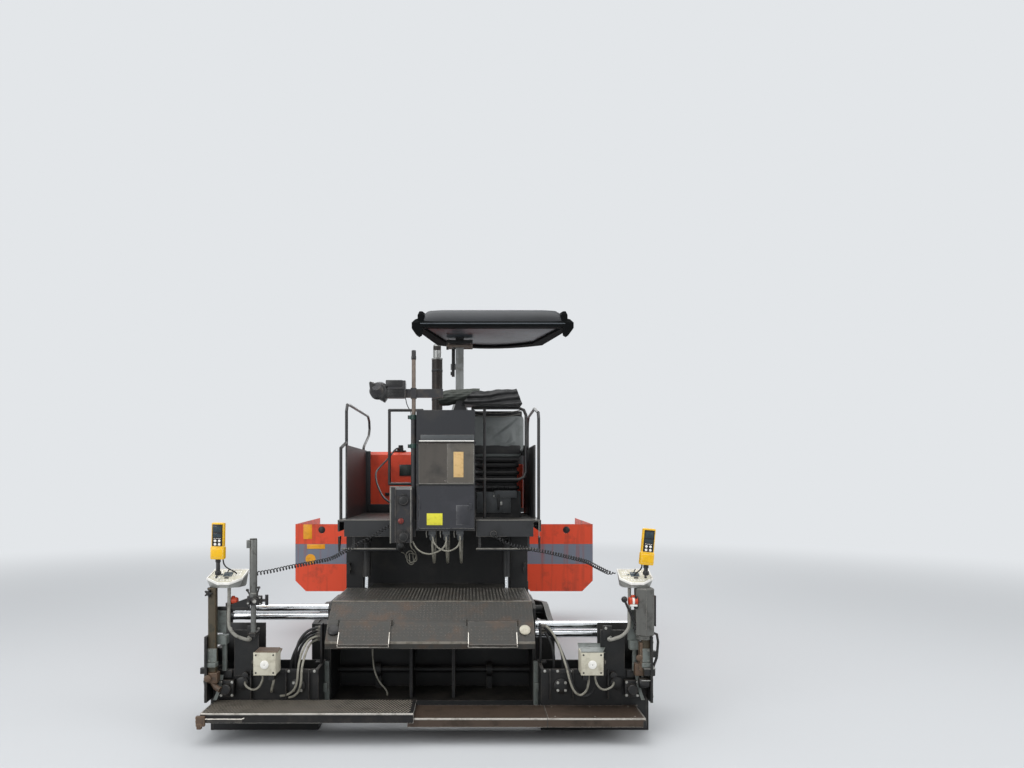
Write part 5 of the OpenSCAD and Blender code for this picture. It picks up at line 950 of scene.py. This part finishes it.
# Walkway fittings: worn bright ridge, a hand hole drawn as a flat black sheet of painted shade, a black cap and a
# cream cap beside the steps, side gussets
worn_edge = coat("worn_edge", "#8a847a", "#5f594f", patch_mm=50, rough=0.38, metal=0.5, grain_mm=3)
piece("walkway_ridge",
      [block((-0.7, -1.834, 0.7925), (0.7, -1.822, 0.7992), 0.002),
       block((-0.701, -2.1262, 0.557), (0.701, -2.122, 0.5735), 0.0015),
       block((-0.7015, -1.83, 0.789), (-0.694, -1.17, 0.799), 0.002),
       block((0.694, -1.83, 0.789), (0.7015, -1.17, 0.799), 0.002)],
      worn_edge, "screed")
# The hand hole is a flat black sheet, painted shade for the hole's depth; the round part is the black cap.
piece("walkway_hole_shade_and_cap",
      [tilt(block((0.272, -2.07, 0.679), (0.336, -2.025, 0.682), 0.001), (0.3, -2.025, 0.68), (1, 0, 0), slope),
       turned([(0.038, -0.002), (0.04, 0.002), (0.039, 0.012), (0.03, 0.018), (0.01, 0.019)],
              (-0.652, -2.065, 0.636), (0, -0.74, 0.673), 32)],
      oily_black, "screed")
piece("walkway_cap",
      [turned([(0.036, -0.002), (0.037, 0.002), (0.037, 0.01), (0.031, 0.0145), (0.012, 0.0155), (0.006, 0.012)],
              (0.637, -2.065, 0.636), (0, -0.74, 0.673), 36)],
      box_cream, "screed")
piece("walkway_bolts",
      bolts([(s * 0.66, y, 0.798) for s in (-1, 1) for y in (-1.25, -1.5, -1.75)]
            + [(x, -1.78, 0.798) for x in (-0.4, 0.0, 0.4)],
            (0, 0, 1), 0.008),
      oily_steel, "screed")

# Cabinet fittings. The lid is dented plate in two halves, the right one paler, with a blank beige plate; above it
# a bright drip edge and a grey strip. The door has a blank yellow plate; square plugs hang out of the bottom.
strip_grey = coat("strip_grey", "#4a4d4f", "#393b3c", patch_mm=70, rough=0.42, grain_mm=2, edge="#8d8a84")
lid_pale = coat("lid_pale", "#5d5850", "#46423c", patch_mm=110, rough=0.4,
                edge="#a8a49d", worn=0.5, grain_mm=2, runs=0.35)
plate_beige = coat("plate_beige", "#d9b57c", "#c39c63", patch_mm=30, rough=0.45, grain_mm=2, bump=0.05)
plate_yellow = coat("plate_yellow", "#e6df3d", "#cdc432", patch_mm=30, rough=0.42, grain_mm=2, bump=0.05)
light_steel = coat("light_steel", "#84827b", "#5c5953", patch_mm=50, rough=0.4, metal=0.3, grain_mm=2, runs=0.4)
piece("cabinet_strip",
      [block((-0.113, -1.3175, 1.9535), (0.299, -1.3145, 1.998), 0.001)],
      strip_grey, "tractor")
piece("cabinet_drip_edge",
      [block((-0.124, -1.3468, 1.9455), (0.299, -1.3435, 1.9545), 0.0015)],
      rim_alloy, "tractor")
piece("lid_half",
      [block((0.0915, -1.3284, 1.6275), (0.2965, -1.3266, 1.929), 0.0007)],
      lid_pale, "cabinet_lid")
piece("lid_plate",
      [block((0.141, -1.33, 1.671), (0.217, -1.328, 1.867), 0.0008)],
      plate_beige, "cabinet_lid")
piece("lid_edges",
      [block((-0.127, -1.329, 1.6185), (0.3, -1.325, 1.6235), 0.001),
       block((-0.127, -1.3285, 1.62), (-0.1245, -1.325, 1.935), 0.0008),
       block((0.2975, -1.3285, 1.62), (0.3, -1.325, 1.935), 0.0008)],
      light_steel, "cabinet_lid")
piece("door_plate",
      [block((-0.065, -1.3288, 1.303), (0.056, -1.3268, 1.393), 0.0008)],
      plate_yellow, "cabinet_door")
piece("door_pressing",
      [block((0.16, -1.3278, 1.303), (0.268, -1.3266, 1.457), 0.0006),
       block((0.166, -1.3284, 1.309), (0.262, -1.3272, 1.451), 0.0006),
       block((-0.12, -1.334, 1.43), (-0.112, -1.3265, 1.48), 0.002)],
      door_paint, "cabinet_door")
piece("door_edges",
      [block((-0.127, -1.3285, 1.277), (-0.1245, -1.325, 1.603), 0.0008),
       block((-0.127, -1.3287, 1.2765), (0.3, -1.325, 1.28), 0.0008)],
      strip_grey, "cabinet_door")
piece("cabinet_plugs",
      [s for x in (-0.025, 0.083, 0.19)
       for s in (block((x - 0.029, -1.285, 1.226), (x + 0.029, -1.232, 1.2598), 0.004),
                 turned([(0.0235, 0), (0.026, 0.006), (0.024, 0.03), (0.0195, 0.046)],
                        (x, -1.255, 1.228), (0, 0, -1), 20))],
      strip_grey, "tractor")
piece("plug_clips",
      [pipe([(x - 0.045, -1.286, 1.2598), (x - 0.047, -1.289, 1.235), (x - 0.043, -1.289, 1.205)], 0.0035, 8)
       for x in (-0.025, 0.083, 0.19)],
      light_steel, "tractor")
cord("plug_lead_1",
     [(0.19, -1.2795, 1.215), (0.189, -1.292, 1.18), (0.165, -1.298, 1.13), (0.1, -1.3, 1.1),
      (0.03, -1.298, 1.12), (-0.012, -1.29, 1.165), (-0.022, -1.2795, 1.21)],
     0.013, pale_lead, "tractor", sides=8)
cord("plug_lead_2",
     [(0.083, -1.2795, 1.21), (0.082, -1.29, 1.17), (0.055, -1.298, 1.12), (-0.02, -1.302, 1.08),
      (-0.09, -1.3, 1.085), (-0.145, -1.292, 1.12), (-0.1775, -1.292, 1.175)],
     0.013, pale_lead, "tractor", sides=8)

# Socket box and service mast: edges rubbed bright, two round sockets with flaps, a red key switch and a plug whose
# thin cable hangs in a knot; two dark green clamps hold the mast's rust-brown upper tube, and a dark cap ends it.
clamp_green = coat("clamp_green", "#1d3b33", "#142823", patch_mm=30, rough=0.4, edge="#4d6a60", grain_mm=2)
tube_brown = coat("tube_brown", "#75695f", "#574a40", patch_mm=40, rough=0.5, metal=0.2, grain_mm=2, runs=0.5)
switch_red = coat("switch_red", "#7a2a22", "#5d221c", patch_mm=20, rough=0.4, grain_mm=2)
piece("socket_box_flange",
      [block((-0.3445, -1.3535, 1.168), (-0.3045, -1.342, 1.6), 0.0015)],
      deck_paint, "tractor")
piece("socket_box_edges",
      [block((-0.347, -1.356, 1.165), (-0.337, -1.341, 1.601), 0.0015),
       block((-0.347, -1.357, 1.593), (-0.1775, -1.345, 1.602), 0.002),
       block((-0.1895, -1.3565, 1.168), (-0.1775, -1.345, 1.598), 0.0015)],
      light_steel, "tractor")
piece("socket_rings",
      [turned([(0.0345, 0), (0.039, 0.003), (0.041, 0.016), (0.037, 0.021), (0.03, 0.0215), (0.028, 0.017)],
              (-0.242, -1.3555, z), (0, -1, 0), 36)
       for z in (1.215, 1.495)]
      + [turned([(0.0285, 0), (0.0285, 0.003), (0.02, 0.006)], (-0.242, -1.377, z), (0, -1, 0), 32)
         for z in (1.215, 1.495)]
      + [block((-0.262, -1.38, z + 0.036), (-0.222, -1.356, z + 0.048), 0.003) for z in (1.215, 1.495)],
      hard_black, "tractor")
piece("key_switch",
      [turned([(0.021, 0), (0.023, 0.003), (0.021, 0.012), (0.012, 0.016)],
              (-0.262, -1.3555, 1.335), (0, -1, 0), 24),
       block((-0.266, -1.384, 1.32), (-0.258, -1.37, 1.35), 0.002)],
      switch_red, "tractor")
piece("box_plug",
      [turned([(0.029, 0), (0.032, 0.006), (0.032, 0.04), (0.024, 0.055), (0.012, 0.075)],
              (-0.268, -1.315, 1.1705), (0, 0, -1), 24)],
      hard_black, "tractor")
knot = [(-0.2 + (0.03 + 0.018 * np.sin(0.7 * k)) * np.cos(a), -1.08 - 0.0016 * k,
         1.03 + (0.046 - 0.012 * np.cos(0.9 * k)) * np.sin(a))
        for k, a in enumerate(np.radians(np.arange(170, 1080, 30)))]
to_knot = [(-0.268, -1.315, 1.169), (-0.268, -1.315, 1.125), (-0.267, -1.295, 1.095),
           (-0.262, -1.22, 1.082), (-0.255, -1.14, 1.068), (-0.25, -1.09, 1.052)]
from_knot = [(-0.16, -1.17, 1.07), (-0.172, -1.23, 1.1), (-0.185, -1.295, 1.125), (-0.195, -1.318, 1.1698)]
cord("knotted_cable", to_knot + knot + from_knot, 0.009, pale_lead, "tractor", sides=8, steps=6)
piece("mast_clamps",
      [turned([(0.0248, 0), (0.0275, 0.003), (0.0275, 0.033), (0.0248, 0.036)], (-0.17, -1.259, z), (0, 0, 1), 28)
       for z in (1.895, 2.12)]
      + [block((-0.208, -1.27, z + 0.006), (-0.19, -1.248, z + 0.03), 0.003) for z in (1.895, 2.12)]
      + bolts([(-0.2, -1.2702, 1.913), (-0.2, -1.2702, 2.138)], (0, -1, 0), 0.006),
      clamp_green, "tractor")
piece("mast_tube",
      [turned([(0.0158, 2.157), (0.0158, 2.29)], (-0.17, -1.259, 0), (0, 0, 1), 22),
       turned([(0.0158, 2.358), (0.0158, 2.586)], (-0.17, -1.259, 0), (0, 0, 1), 22)],
      tube_brown, "tractor")
piece("mast_cap",
      [turned([(0.0175, 2.586), (0.0195, 2.59), (0.0195, 2.612), (0.0172, 2.616), (0.0172, 2.652), (0.013, 2.659)],
              (-0.17, -1.259, 0), (0, 0, 1), 24)],
      hard_black, "tractor")

# Lamps on the mast's arm, seen from behind: a ribbed square flood lamp and a turned-away lamp in its long shield
lamp = [block((-0.385, -1.302, 2.37), (-0.2515, -1.21, 2.4235), 0.008),
        block((-0.376, -1.3, 2.286), (-0.236, -1.213, 2.362), 0.01)]
lamp += [repeat(block((-0.383, -1.3045, 0), (-0.243, -1.298, 0.0045), 0.001),
                [(0, 0, z) for z in np.arange(2.294, 2.356, 0.011)])]
shield = np.array([(-0.516, 2.405), (-0.509, 2.416), (-0.48, 2.409), (-0.438, 2.382), (-0.38, 2.384),
                   (-0.368, 2.34), (-0.375, 2.288), (-0.398, 2.254), (-0.44, 2.278), (-0.507, 2.33)])
mid = shield.mean(0)
lamp += [loft([np.insert(mid + (shield - mid) * k, 1, y, axis=1)
               for y, k in ((-1.315, 0.72), (-1.3, 0.93), (-1.275, 1.0), (-1.215, 1.0), (-1.2, 0.94))])]
piece("work_lamps", lamp, hard_black, "tractor", smooth=30)
piece("lamp_lenses",
      [block((-0.376, -1.2135, 2.296), (-0.25, -1.211, 2.352), 0.001)],
      display_glass, "tractor")
cord("lamp_lead",
     [(-0.24, -1.2465, 2.3), (-0.235, -1.235, 2.285), (-0.225, -1.228, 2.24),
      (-0.205, -1.235, 2.2), (-0.193, -1.243, 2.175), (-0.1925, -1.245, 2.12)],
     0.007, lead_rubber, "tractor", sides=8)

# Hood and bulkheads: dark window, latch, seams and side louvres; black sill and corner plates behind the platform
window_dark = coat("window_dark", "#1d2622", "#2a342f", patch_mm=60, rough=0.3, grain_mm=4, bump=0.05)
piece("hood_window",
      [block((-0.403, 0.092, 1.69), (-0.272, 0.102, 1.797), 0.003)],
      window_dark, "tractor")
piece("hood_sill",
      [block((-0.69, 0.06, 1.3405), (0.69, 0.0985, 1.42), 0.003),
       block((-0.766, 0.075, 1.3405), (-0.676, 0.09, 1.925), 0.003),
       block((0.7, 0.165, 1.3405), (0.79, 0.18, 1.925), 0.003)],
      deck_paint, "tractor")
piece("hood_shoulder", [block((0.6905, 0.1, 1.385), (0.776, 0.16, 1.8), 0.008)], hood_enamel, "tractor")
points, faces = tilt(block((0.6885, 0, 0), (0.7, 0.32, 0.009), 0.002), (0.69, 0, 0), (0, 1, 0), 28)
rows = [(0, 0.2, z) for z in np.arange(1.44, 1.8, 0.028)]
piece("hood_louvres",
      [repeat((points, faces), rows), repeat((points * (-1, 1, 1), [f[::-1] for f in faces]), rows)],
      hood_enamel, "tractor")
piece("hood_latches",
      [block((-0.54, 0.0925, 1.5), (-0.5, 0.1, 1.53), 0.003),
       turned([(0.014, 0), (0.014, 0.004), (0.008, 0.007)], (-0.52, 0.0965, 1.515), (0, -1, 0), 20),
       block((-0.462, 0.12, 1.92), (-0.345, 0.2, 1.934), 0.003),
       block((-0.43, 0.13, 1.93), (-0.37, 0.17, 1.962), 0.005),
       turned([(0.022, 0), (0.024, 0.004), (0.022, 0.022)], (-0.395, 0.15, 1.962), (0, 0, 1), 22),
       turned([(0.05, 0), (0.052, 0.004), (0.048, 0.03), (0.03, 0.036)], (0.42, 0.55, 1.9195), (0, 0, 1), 30)],
      hard_black, "tractor")
cord("hood_cable",
     [(-0.41, 0.118, 1.934), (-0.415, 0.08, 1.952), (-0.44, 0.0, 1.93), (-0.49, -0.16, 1.84),
      (-0.54, -0.33, 1.765), (-0.556, -0.48, 1.715), (-0.535, -0.65, 1.65), (-0.495, -0.82, 1.585),
      (-0.43, -1.06, 1.515), (-0.37, -1.23, 1.482), (-0.333, -1.31, 1.474), (-0.325, -1.3415, 1.474)],
     0.016, lead_rubber, "tractor", sides=8)
tip_steel = coat("tip_steel", "#8f908e", "#5d5854", patch_mm=40, rough=0.35, metal=0.6, grain_mm=2)
piece("exhaust_tip",
      [pipe([(-0.05, 0.25, 2.836), (-0.05, 0.25, 2.9), (-0.05, 0.256, 2.93), (-0.05, 0.272, 2.955)], 0.0392, 28),
       turned([(0.053, 2.818), (0.055, 2.822), (0.055, 2.832), (0.04, 2.84)], (-0.05, 0.25, 0), (0, 0, 1), 32)],
      tip_steel, "tractor")
piece("exhaust_bands",
      [turned([(0.0525, z), (0.0545, z + 0.003), (0.0545, z + 0.022), (0.0525, z + 0.025)],
              (-0.05, 0.25, 0), (0, 0, 1), 32)
       for z in (2.05, 2.42, 2.7)],
      frame_paint_and_shade, "tractor")


def mould(rings, at, power=6.0, sides=112):
    """Moulded form: superellipses |x/a|^power + |y/b|^power = 1, one per half width, half depth and height."""
    a = np.arange(sides) * 2 * np.pi / sides
    c, s = np.cos(a), np.sin(a)
    ring = np.stack([np.sign(c) * np.abs(c) ** (2 / power), np.sign(s) * np.abs(s) ** (2 / power)], 1)
    return loft([np.c_[ring * (x, y), np.full(sides, z)] + at for x, y, z in rings])


def pillow(at, half, crown, folds, power=6.0):
    """Crowned upholstery: mould rings whose height follows the fifth-power superellipse and swells by the crown
    in the middle; folds are rows of height, wave length and the two parts of their direction."""
    s = np.r_[np.linspace(0.02, 1, 34), np.linspace(1, 0.02, 34)[1:]]
    o = np.r_[np.full(34, -1.0), np.full(33, 1.0)] * (1 - np.minimum(s, 1) ** 5) ** 0.2
    points, faces = mould([(k * half[0], k * half[1], h * half[2]) for k, h in zip(s, o)], (0, 0, 0), power)
    u, v = points[:, 0] / half[0], points[:, 1] / half[1]
    lift = np.sign(points[:, 2]) * np.clip(1 - np.maximum(abs(u), abs(v)) ** 2.5, 0, 1)
    points[:, 2] += lift * crown
    for high, wave, du, dv in folds:
        points[:, 2] += lift * high * np.sin(2 * np.pi * (u * du + v * dv) / wave
                                             + 1.7 * v) * np.clip(0.4 + u, 0, 1)
    return points + at, faces


# Seat: grey vinyl loose cover over the back, pulled into slanting folds at its right; crowned cushion; black
# bellows with four rounded pleats, a grey switch box and a lever rack on the seat box behind them
backrest = tilt(pillow((0, 0, 0), (0.216, 0.159, 0.036), 0.012,
                       [(0.011, 0.5, 0.55, -0.85), (0.006, 0.27, 0.7, -0.7)], 11.0),
                (0, 0, 0), (1, 0, 0), 90)
seat_back = piece("seat_back", [(backrest[0] + (0.505, -0.762, 2.037), backrest[1])], seat_vinyl,
                  "tractor", ["operator_seat"], smooth=60)
seat_cushion = piece("seat_cushion",
                     [pillow((0.495, -0.61, 1.886), (0.214, 0.183, 0.044), 0.012, [(0.002, 0.9, 0.3, 0.9)])],
                     seat_vinyl, "tractor", ["operator_seat"], smooth=60)
piece("seat_rim", [block((0.3, -0.79, 2.16), (0.705, -0.745, 2.228), 0.012)],
      bellows_rubber, "tractor")
piece("seat_frame",
      [mould([(0.19, 0.03, 1.87), (0.2, 0.034, 1.88), (0.2, 0.034, 1.93), (0.19, 0.03, 1.94)], (0.495, -0.775, 0)),
       block((0.725, -0.78, 1.9), (0.758, -0.5, 1.945), 0.012),
       block((0.705, -0.74, 1.86), (0.73, -0.66, 1.94), 0.006)],
      bellows_rubber, "tractor")
piece("seat_piping",
      [pipe(curve([(0.31, -0.79, 2.197 + k), (0.4, -0.797, 2.184 + k), (0.5, -0.799, 2.18 + k),
                   (0.6, -0.797, 2.188 + k), (0.69, -0.79, 2.205 + k)],
                  10),
            0.0035, 8)
       for k in (0.0, 0.03)],
      light_steel, "tractor")
piece("seat_pleats",
      [mould([(0.135, 0.13, z), (0.185, 0.18, z + 0.012), (0.192, 0.187, z + 0.028),
              (0.185, 0.18, z + 0.044), (0.135, 0.13, z + 0.056)],
             (0.495, -0.59, 0), 9.0)
       for z in (1.557, 1.62, 1.683, 1.746)],
      bellows_rubber, "tractor")
piece("seat_box_plates",
      [block((0.325, -0.8, 1.375), (0.61, -0.789, 1.55), 0.003),
       block((0.47, -0.812, 1.5), (0.66, -0.79, 1.562), 0.004)],
      strip_grey, "tractor")
levers = (0.4, 0.45, 0.5, 0.545, 0.58)
piece("seat_box_levers",
      [pipe([(x, -0.8, 1.55), (x + 0.006, -0.805, 1.585)], 0.004, 8) for x in levers]
      + [turned([(0.005, 0), (0.009, 0.004), (0.007, 0.014)], (x + 0.006, -0.805, 1.583), (0, 0, 1), 14)
         for x in levers]
      + [block((0.5, -0.818, 1.4), (0.516, -0.8, 1.53), 0.003)],
      hard_black, "tractor")
piece("seat_box_key",
      [block((0.522, -0.812, 1.44), (0.538, -0.799, 1.468), 0.003),
       block((0.465, -0.812, 1.51), (0.472, -0.8, 1.52), 0.001)],
      key_white, "tractor")
levers = (0.24, 0.3, 0.6, 0.65)
piece("console_levers",
      [pipe([(x, -0.06, 1.985), (x, -0.075, 2.05)], 0.005, 10) for x in levers]
      + [turned([(0.006, 0), (0.014, 0.008), (0.016, 0.02), (0.009, 0.034)], (x, -0.074, 2.045), (0, -0.2, 1), 20)
         for x in levers]
      + [block((0.2, -0.15, 1.9895), (0.68, 0.03, 1.994), 0.002)],
      hard_black, "tractor")
piece("console_keys",
      [repeat(block((-0.012, -0.008, 0), (0.012, 0.008, 0.006), 0.002),
              [(x, y, 1.9938) for x in (0.36, 0.4, 0.44, 0.48, 0.52) for y in (-0.12, -0.09)])],
      key_white, "tractor")

# Tarpaulin folded into six layers on the guard frame, its last fold hanging down the back in creases, with a
# grey-green roll of the same cloth beside it
layers, thick, tier, near, far_y, first, turn_r = 6, 0.0022, 0.0225, -1.132, -0.85, 2.2535, 0.024
top = first + tier * (layers - 1)
middle = []
for k in range(layers):
    start, end, outward_y = (near, far_y, 1) if k % 2 == 0 else (far_y, near, -1)
    middle.append(np.c_[np.linspace(start, end, 24), np.full(24, first + tier * k)])
    if k < layers - 1:
        a = np.radians(np.linspace(-80, 80, 9))
        middle.append(np.c_[end + outward_y * tier / 2 * np.cos(a),
                            first + tier * (k + 0.5) + tier / 2 * np.sin(a)])
a = np.radians(np.linspace(10, 90, 8))
middle.append(np.c_[near - turn_r * np.sin(a), top - turn_r * (1 - np.cos(a))])
middle.append(np.c_[np.full(30, near - turn_r), np.linspace(top - 0.028, 2.25, 30)])
middle = np.vstack(middle)
way = np.gradient(middle, axis=0)
way /= np.linalg.norm(way, axis=1)[:, None]
side_way = np.stack([-way[:, 1], way[:, 0]], 1) * thick / 2
section = np.vstack([middle + side_way, (middle - side_way)[::-1]])
rings = []
for x in np.linspace(0.2, 0.683, 60):
    y, z = section[:, 0], section[:, 1]
    up = (z - 2.25) / 0.125
    sag = up * (0.012 * (x - 0.4) / 0.3 - 0.007 * np.sin((x - 0.1) / 0.583 * np.pi))
    sag += up * (0.0035 * np.sin(23 * x + 9 * y) + 0.002 * np.sin(61 * x - 30 * y))
    crease = 0.0075 * np.sin(2 * np.pi * z / 0.048
                             + 2.4 * np.sin(6 * x)) * (y < -1.15) * np.clip((2.36 - z) / 0.03, 0, 1)
    ends_in = 0.1 * np.clip((0.44 - x) / 0.24, 0, 1) - 0.05 * np.clip((x - 0.4) / 0.283, 0, None)
    rings.append(np.c_[x + up * ends_in, y + crease + 0.005 * np.sin(31 * x + 3 * z), z + sag])
tarp = piece("tarpaulin", [loft(rings)], tarpaulin, "tractor", ["tarp"], smooth=70)
canvas = coat("canvas", "#3c403b", "#2a2d29", patch_mm=50, rough=0.7, grain_mm=1.5, bump=0.4, dust="#5b5d56")
turns = np.linspace(0, 2 * np.pi, 60, endpoint=False)
bundle = []
for t in np.linspace(0, 1, 30):
    swell = 0.066 * (0.35 + 0.65 * np.sin(np.pi * min(0.5, 0.12 + 1.4 * t)) ** 0.7) * (1 - 0.35 * t)
    r = swell * (1 + 0.045 * np.sin(9 * turns + 14 * t) + 0.03 * np.sin(17 * turns - 9 * t))
    bundle.append(np.c_[np.full(60, 0.015 + 0.33 * t),
                        -1.02 - 0.06 * t + 1.5 * r * np.cos(turns),
                        2.305 + 0.035 * t + r * np.sin(turns)])
roll = piece("tarp_roll", [loft(bundle)], canvas, "tractor", ["tarp"], smooth=70)
piece("mast_foot",
      [loft([[(x0, y0, z), (x1, y0, z), (x1, y1, z), (x0, y1, z)]
             for x0, x1, y0, y1, z in ((0.13, 0.25, -1.105, -1.09, 2.19), (0.165, 0.205, -1.103, -1.092, 2.3))])],
      frame_paint_and_shade, "tractor")

# Canopy: crowned shell moulded in black plastic with a paler lip round its edge, and a near-black liner below as
# painted shade for the shadow under it. The mast's top carries a black sleeve as painted shade where the canopy
# shades it, and the plain block that stands for the gas strut beside it is black; brown bars tie them.
roof_mid, roof_half, roof_rear, roof_long, narrowing, bow = 0.45, 0.65, -1.075, 1.045, 0.265, 0.18
lip_plastic = coat("lip_plastic", "#4d5257", "#3a3e42", patch_mm=90, rough=0.35, grain_mm=2, bump=0.05)


def roof_plan(shape):
    """A form on a plain rectangle carried over to the roof's plan, which narrows ahead and has a bowed front."""
    points, faces = shape
    u, w = points[:, 0] / roof_half, (points[:, 1] + roof_long / 2) / roof_long
    return np.c_[roof_mid + roof_half * u * (1 - narrowing * w),
                 roof_rear + roof_long * w - bow * w ** 2 * u ** 2, points[:, 2]], faces


crown = [(0.5, 0.37, 2.966), (0.632, 0.514, 2.9), (0.632, 0.514, 2.93), (0.607, 0.507, 2.962), (0.58, 0.492, 2.995),
         (0.552, 0.465, 3.022), (0.48, 0.39, 3.043), (0.3, 0.25, 3.055), (0.02, 0.02, 3.058)]
piece("roof_crown", [roof_plan(mould(crown, (0, 0, 0), 14.0))],
      roof_plastic, "tractor", smooth=60)
piece("roof_lip",
      [roof_plan(mould([(0.645, 0.52, 2.899), (0.65, 0.5255, 2.903), (0.65, 0.5255, 2.909), (0.645, 0.52, 2.912)],
                       (0, 0, 0), 20.0))],
      lip_plastic, "tractor")
piece("roof_shade_liner",
      [roof_plan(mould([(0.53, 0.4, 2.955), (0.53, 0.4, 2.96)], (0, 0, 0), 9.0))],
      roof_painted_shade, "tractor")
# The square sleeve round the mast's top is black as painted shade, for the canopy's shadow on the grey mast.
piece("mast_top",
      [block((0.1415, -0.5115, 2.83), (0.2145, -0.4385, 2.952), 0.003),
       block((0.0635, -0.5365, 2.8385), (0.2925, -0.4135, 2.8715), 0.002),
       block((0.108, -0.505, 2.56), (0.134, -0.445, 2.8), 0.004),
       block((0.098, -0.5, 2.572), (0.134, -0.46, 2.6), 0.004),
       block((0.062, -0.535, 2.79), (0.082, -0.5, 2.835), 0.003)],
      frame_paint_and_shade, "tractor")
piece("mast_bar",
      [block((0.064, -0.545, 2.808), (0.292, -0.515, 2.828), 0.003),
       block((0.064, -0.44, 2.808), (0.292, -0.42, 2.828), 0.003)]
      + [turned([(0.008, 2.8), (0.008, 2.846)], (x, -0.53, 0), (0, 0, 1), 14) for x in (0.083, 0.273)],
      tube_brown, "tractor")

# Hopper wings: black plugs in the pin holes as painted shade for the holes' dark depth, blank yellow plates. Under
# the
# deck: worn bars and edges, gussets.
for side, x in (("left", -1.275), ("right", 1.275)):
    piece(f"wing_hole_shade_plug_{side}",
          [turned([(0.0355, 0), (0.0355, 0.02), (0.012, 0.026)], (x, 0.81, 1.13), (0, -1, 0), 32)],
          oily_black, f"wing_{side}")
sign_yellow = coat("sign_yellow", "#f0a91d", "#cf8a1c", patch_mm=60, rough=0.42, grain_mm=2, bump=0.05, runs=0.3)
piece("wing_plates_left",
      [block((-1.466, 0.7825, 1.035), (-1.377, 0.786, 1.186), 0.001),
       block((-1.429, 0.7825, 0.932), (-1.241, 0.786, 0.98), 0.001),
       turned([(0.052, 0), (0.052, 0.003)], (-1.392, 0.7855, 0.826), (0, -1, 0), 40)],
      sign_yellow, "wing_left")
piece("under_deck_bars",
      [pipe([(x0, -1.2425, 1.1125), (x1, -1.2425, 1.1125)], 0.0075, 10)
       for x0, x1 in ((-0.735, -0.31), (0.315, 0.79))]
      + [block((x0, -1.277, 1.3355), (x1, -1.268, 1.3412), 0.001) for x0, x1 in ((-0.76, -0.35), (0.312, 0.82))]
      + [block((0.8, -1.277, 1.2), (0.806, -1.27, 1.335), 0.001)],
      light_steel, "tractor")
piece("deck_gussets",
      [loft([[(x, y0, z), (x + 0.012, y0, z), (x + 0.012, y1, z), (x, y1, z)]
             for y0, y1, z in ((-1.272, -1.18, 1.209), (-1.255, -1.235, 1.09))])
       for x in (-0.758, 0.804)],
      frame_paint_and_shade, "tractor")
for side, sign in (("left", -1), ("right", 1)):
    piece(f"inner_end_{side}",
          [block((sign * 0.706, -1.95, 0.1), (sign * 0.736, -1.905, 0.395), 0.003),
           block((sign * 0.712, -1.99, 0.2), (sign * 0.736, -1.95, 0.26), 0.003)],
          plate_grey, f"extension_{side}")
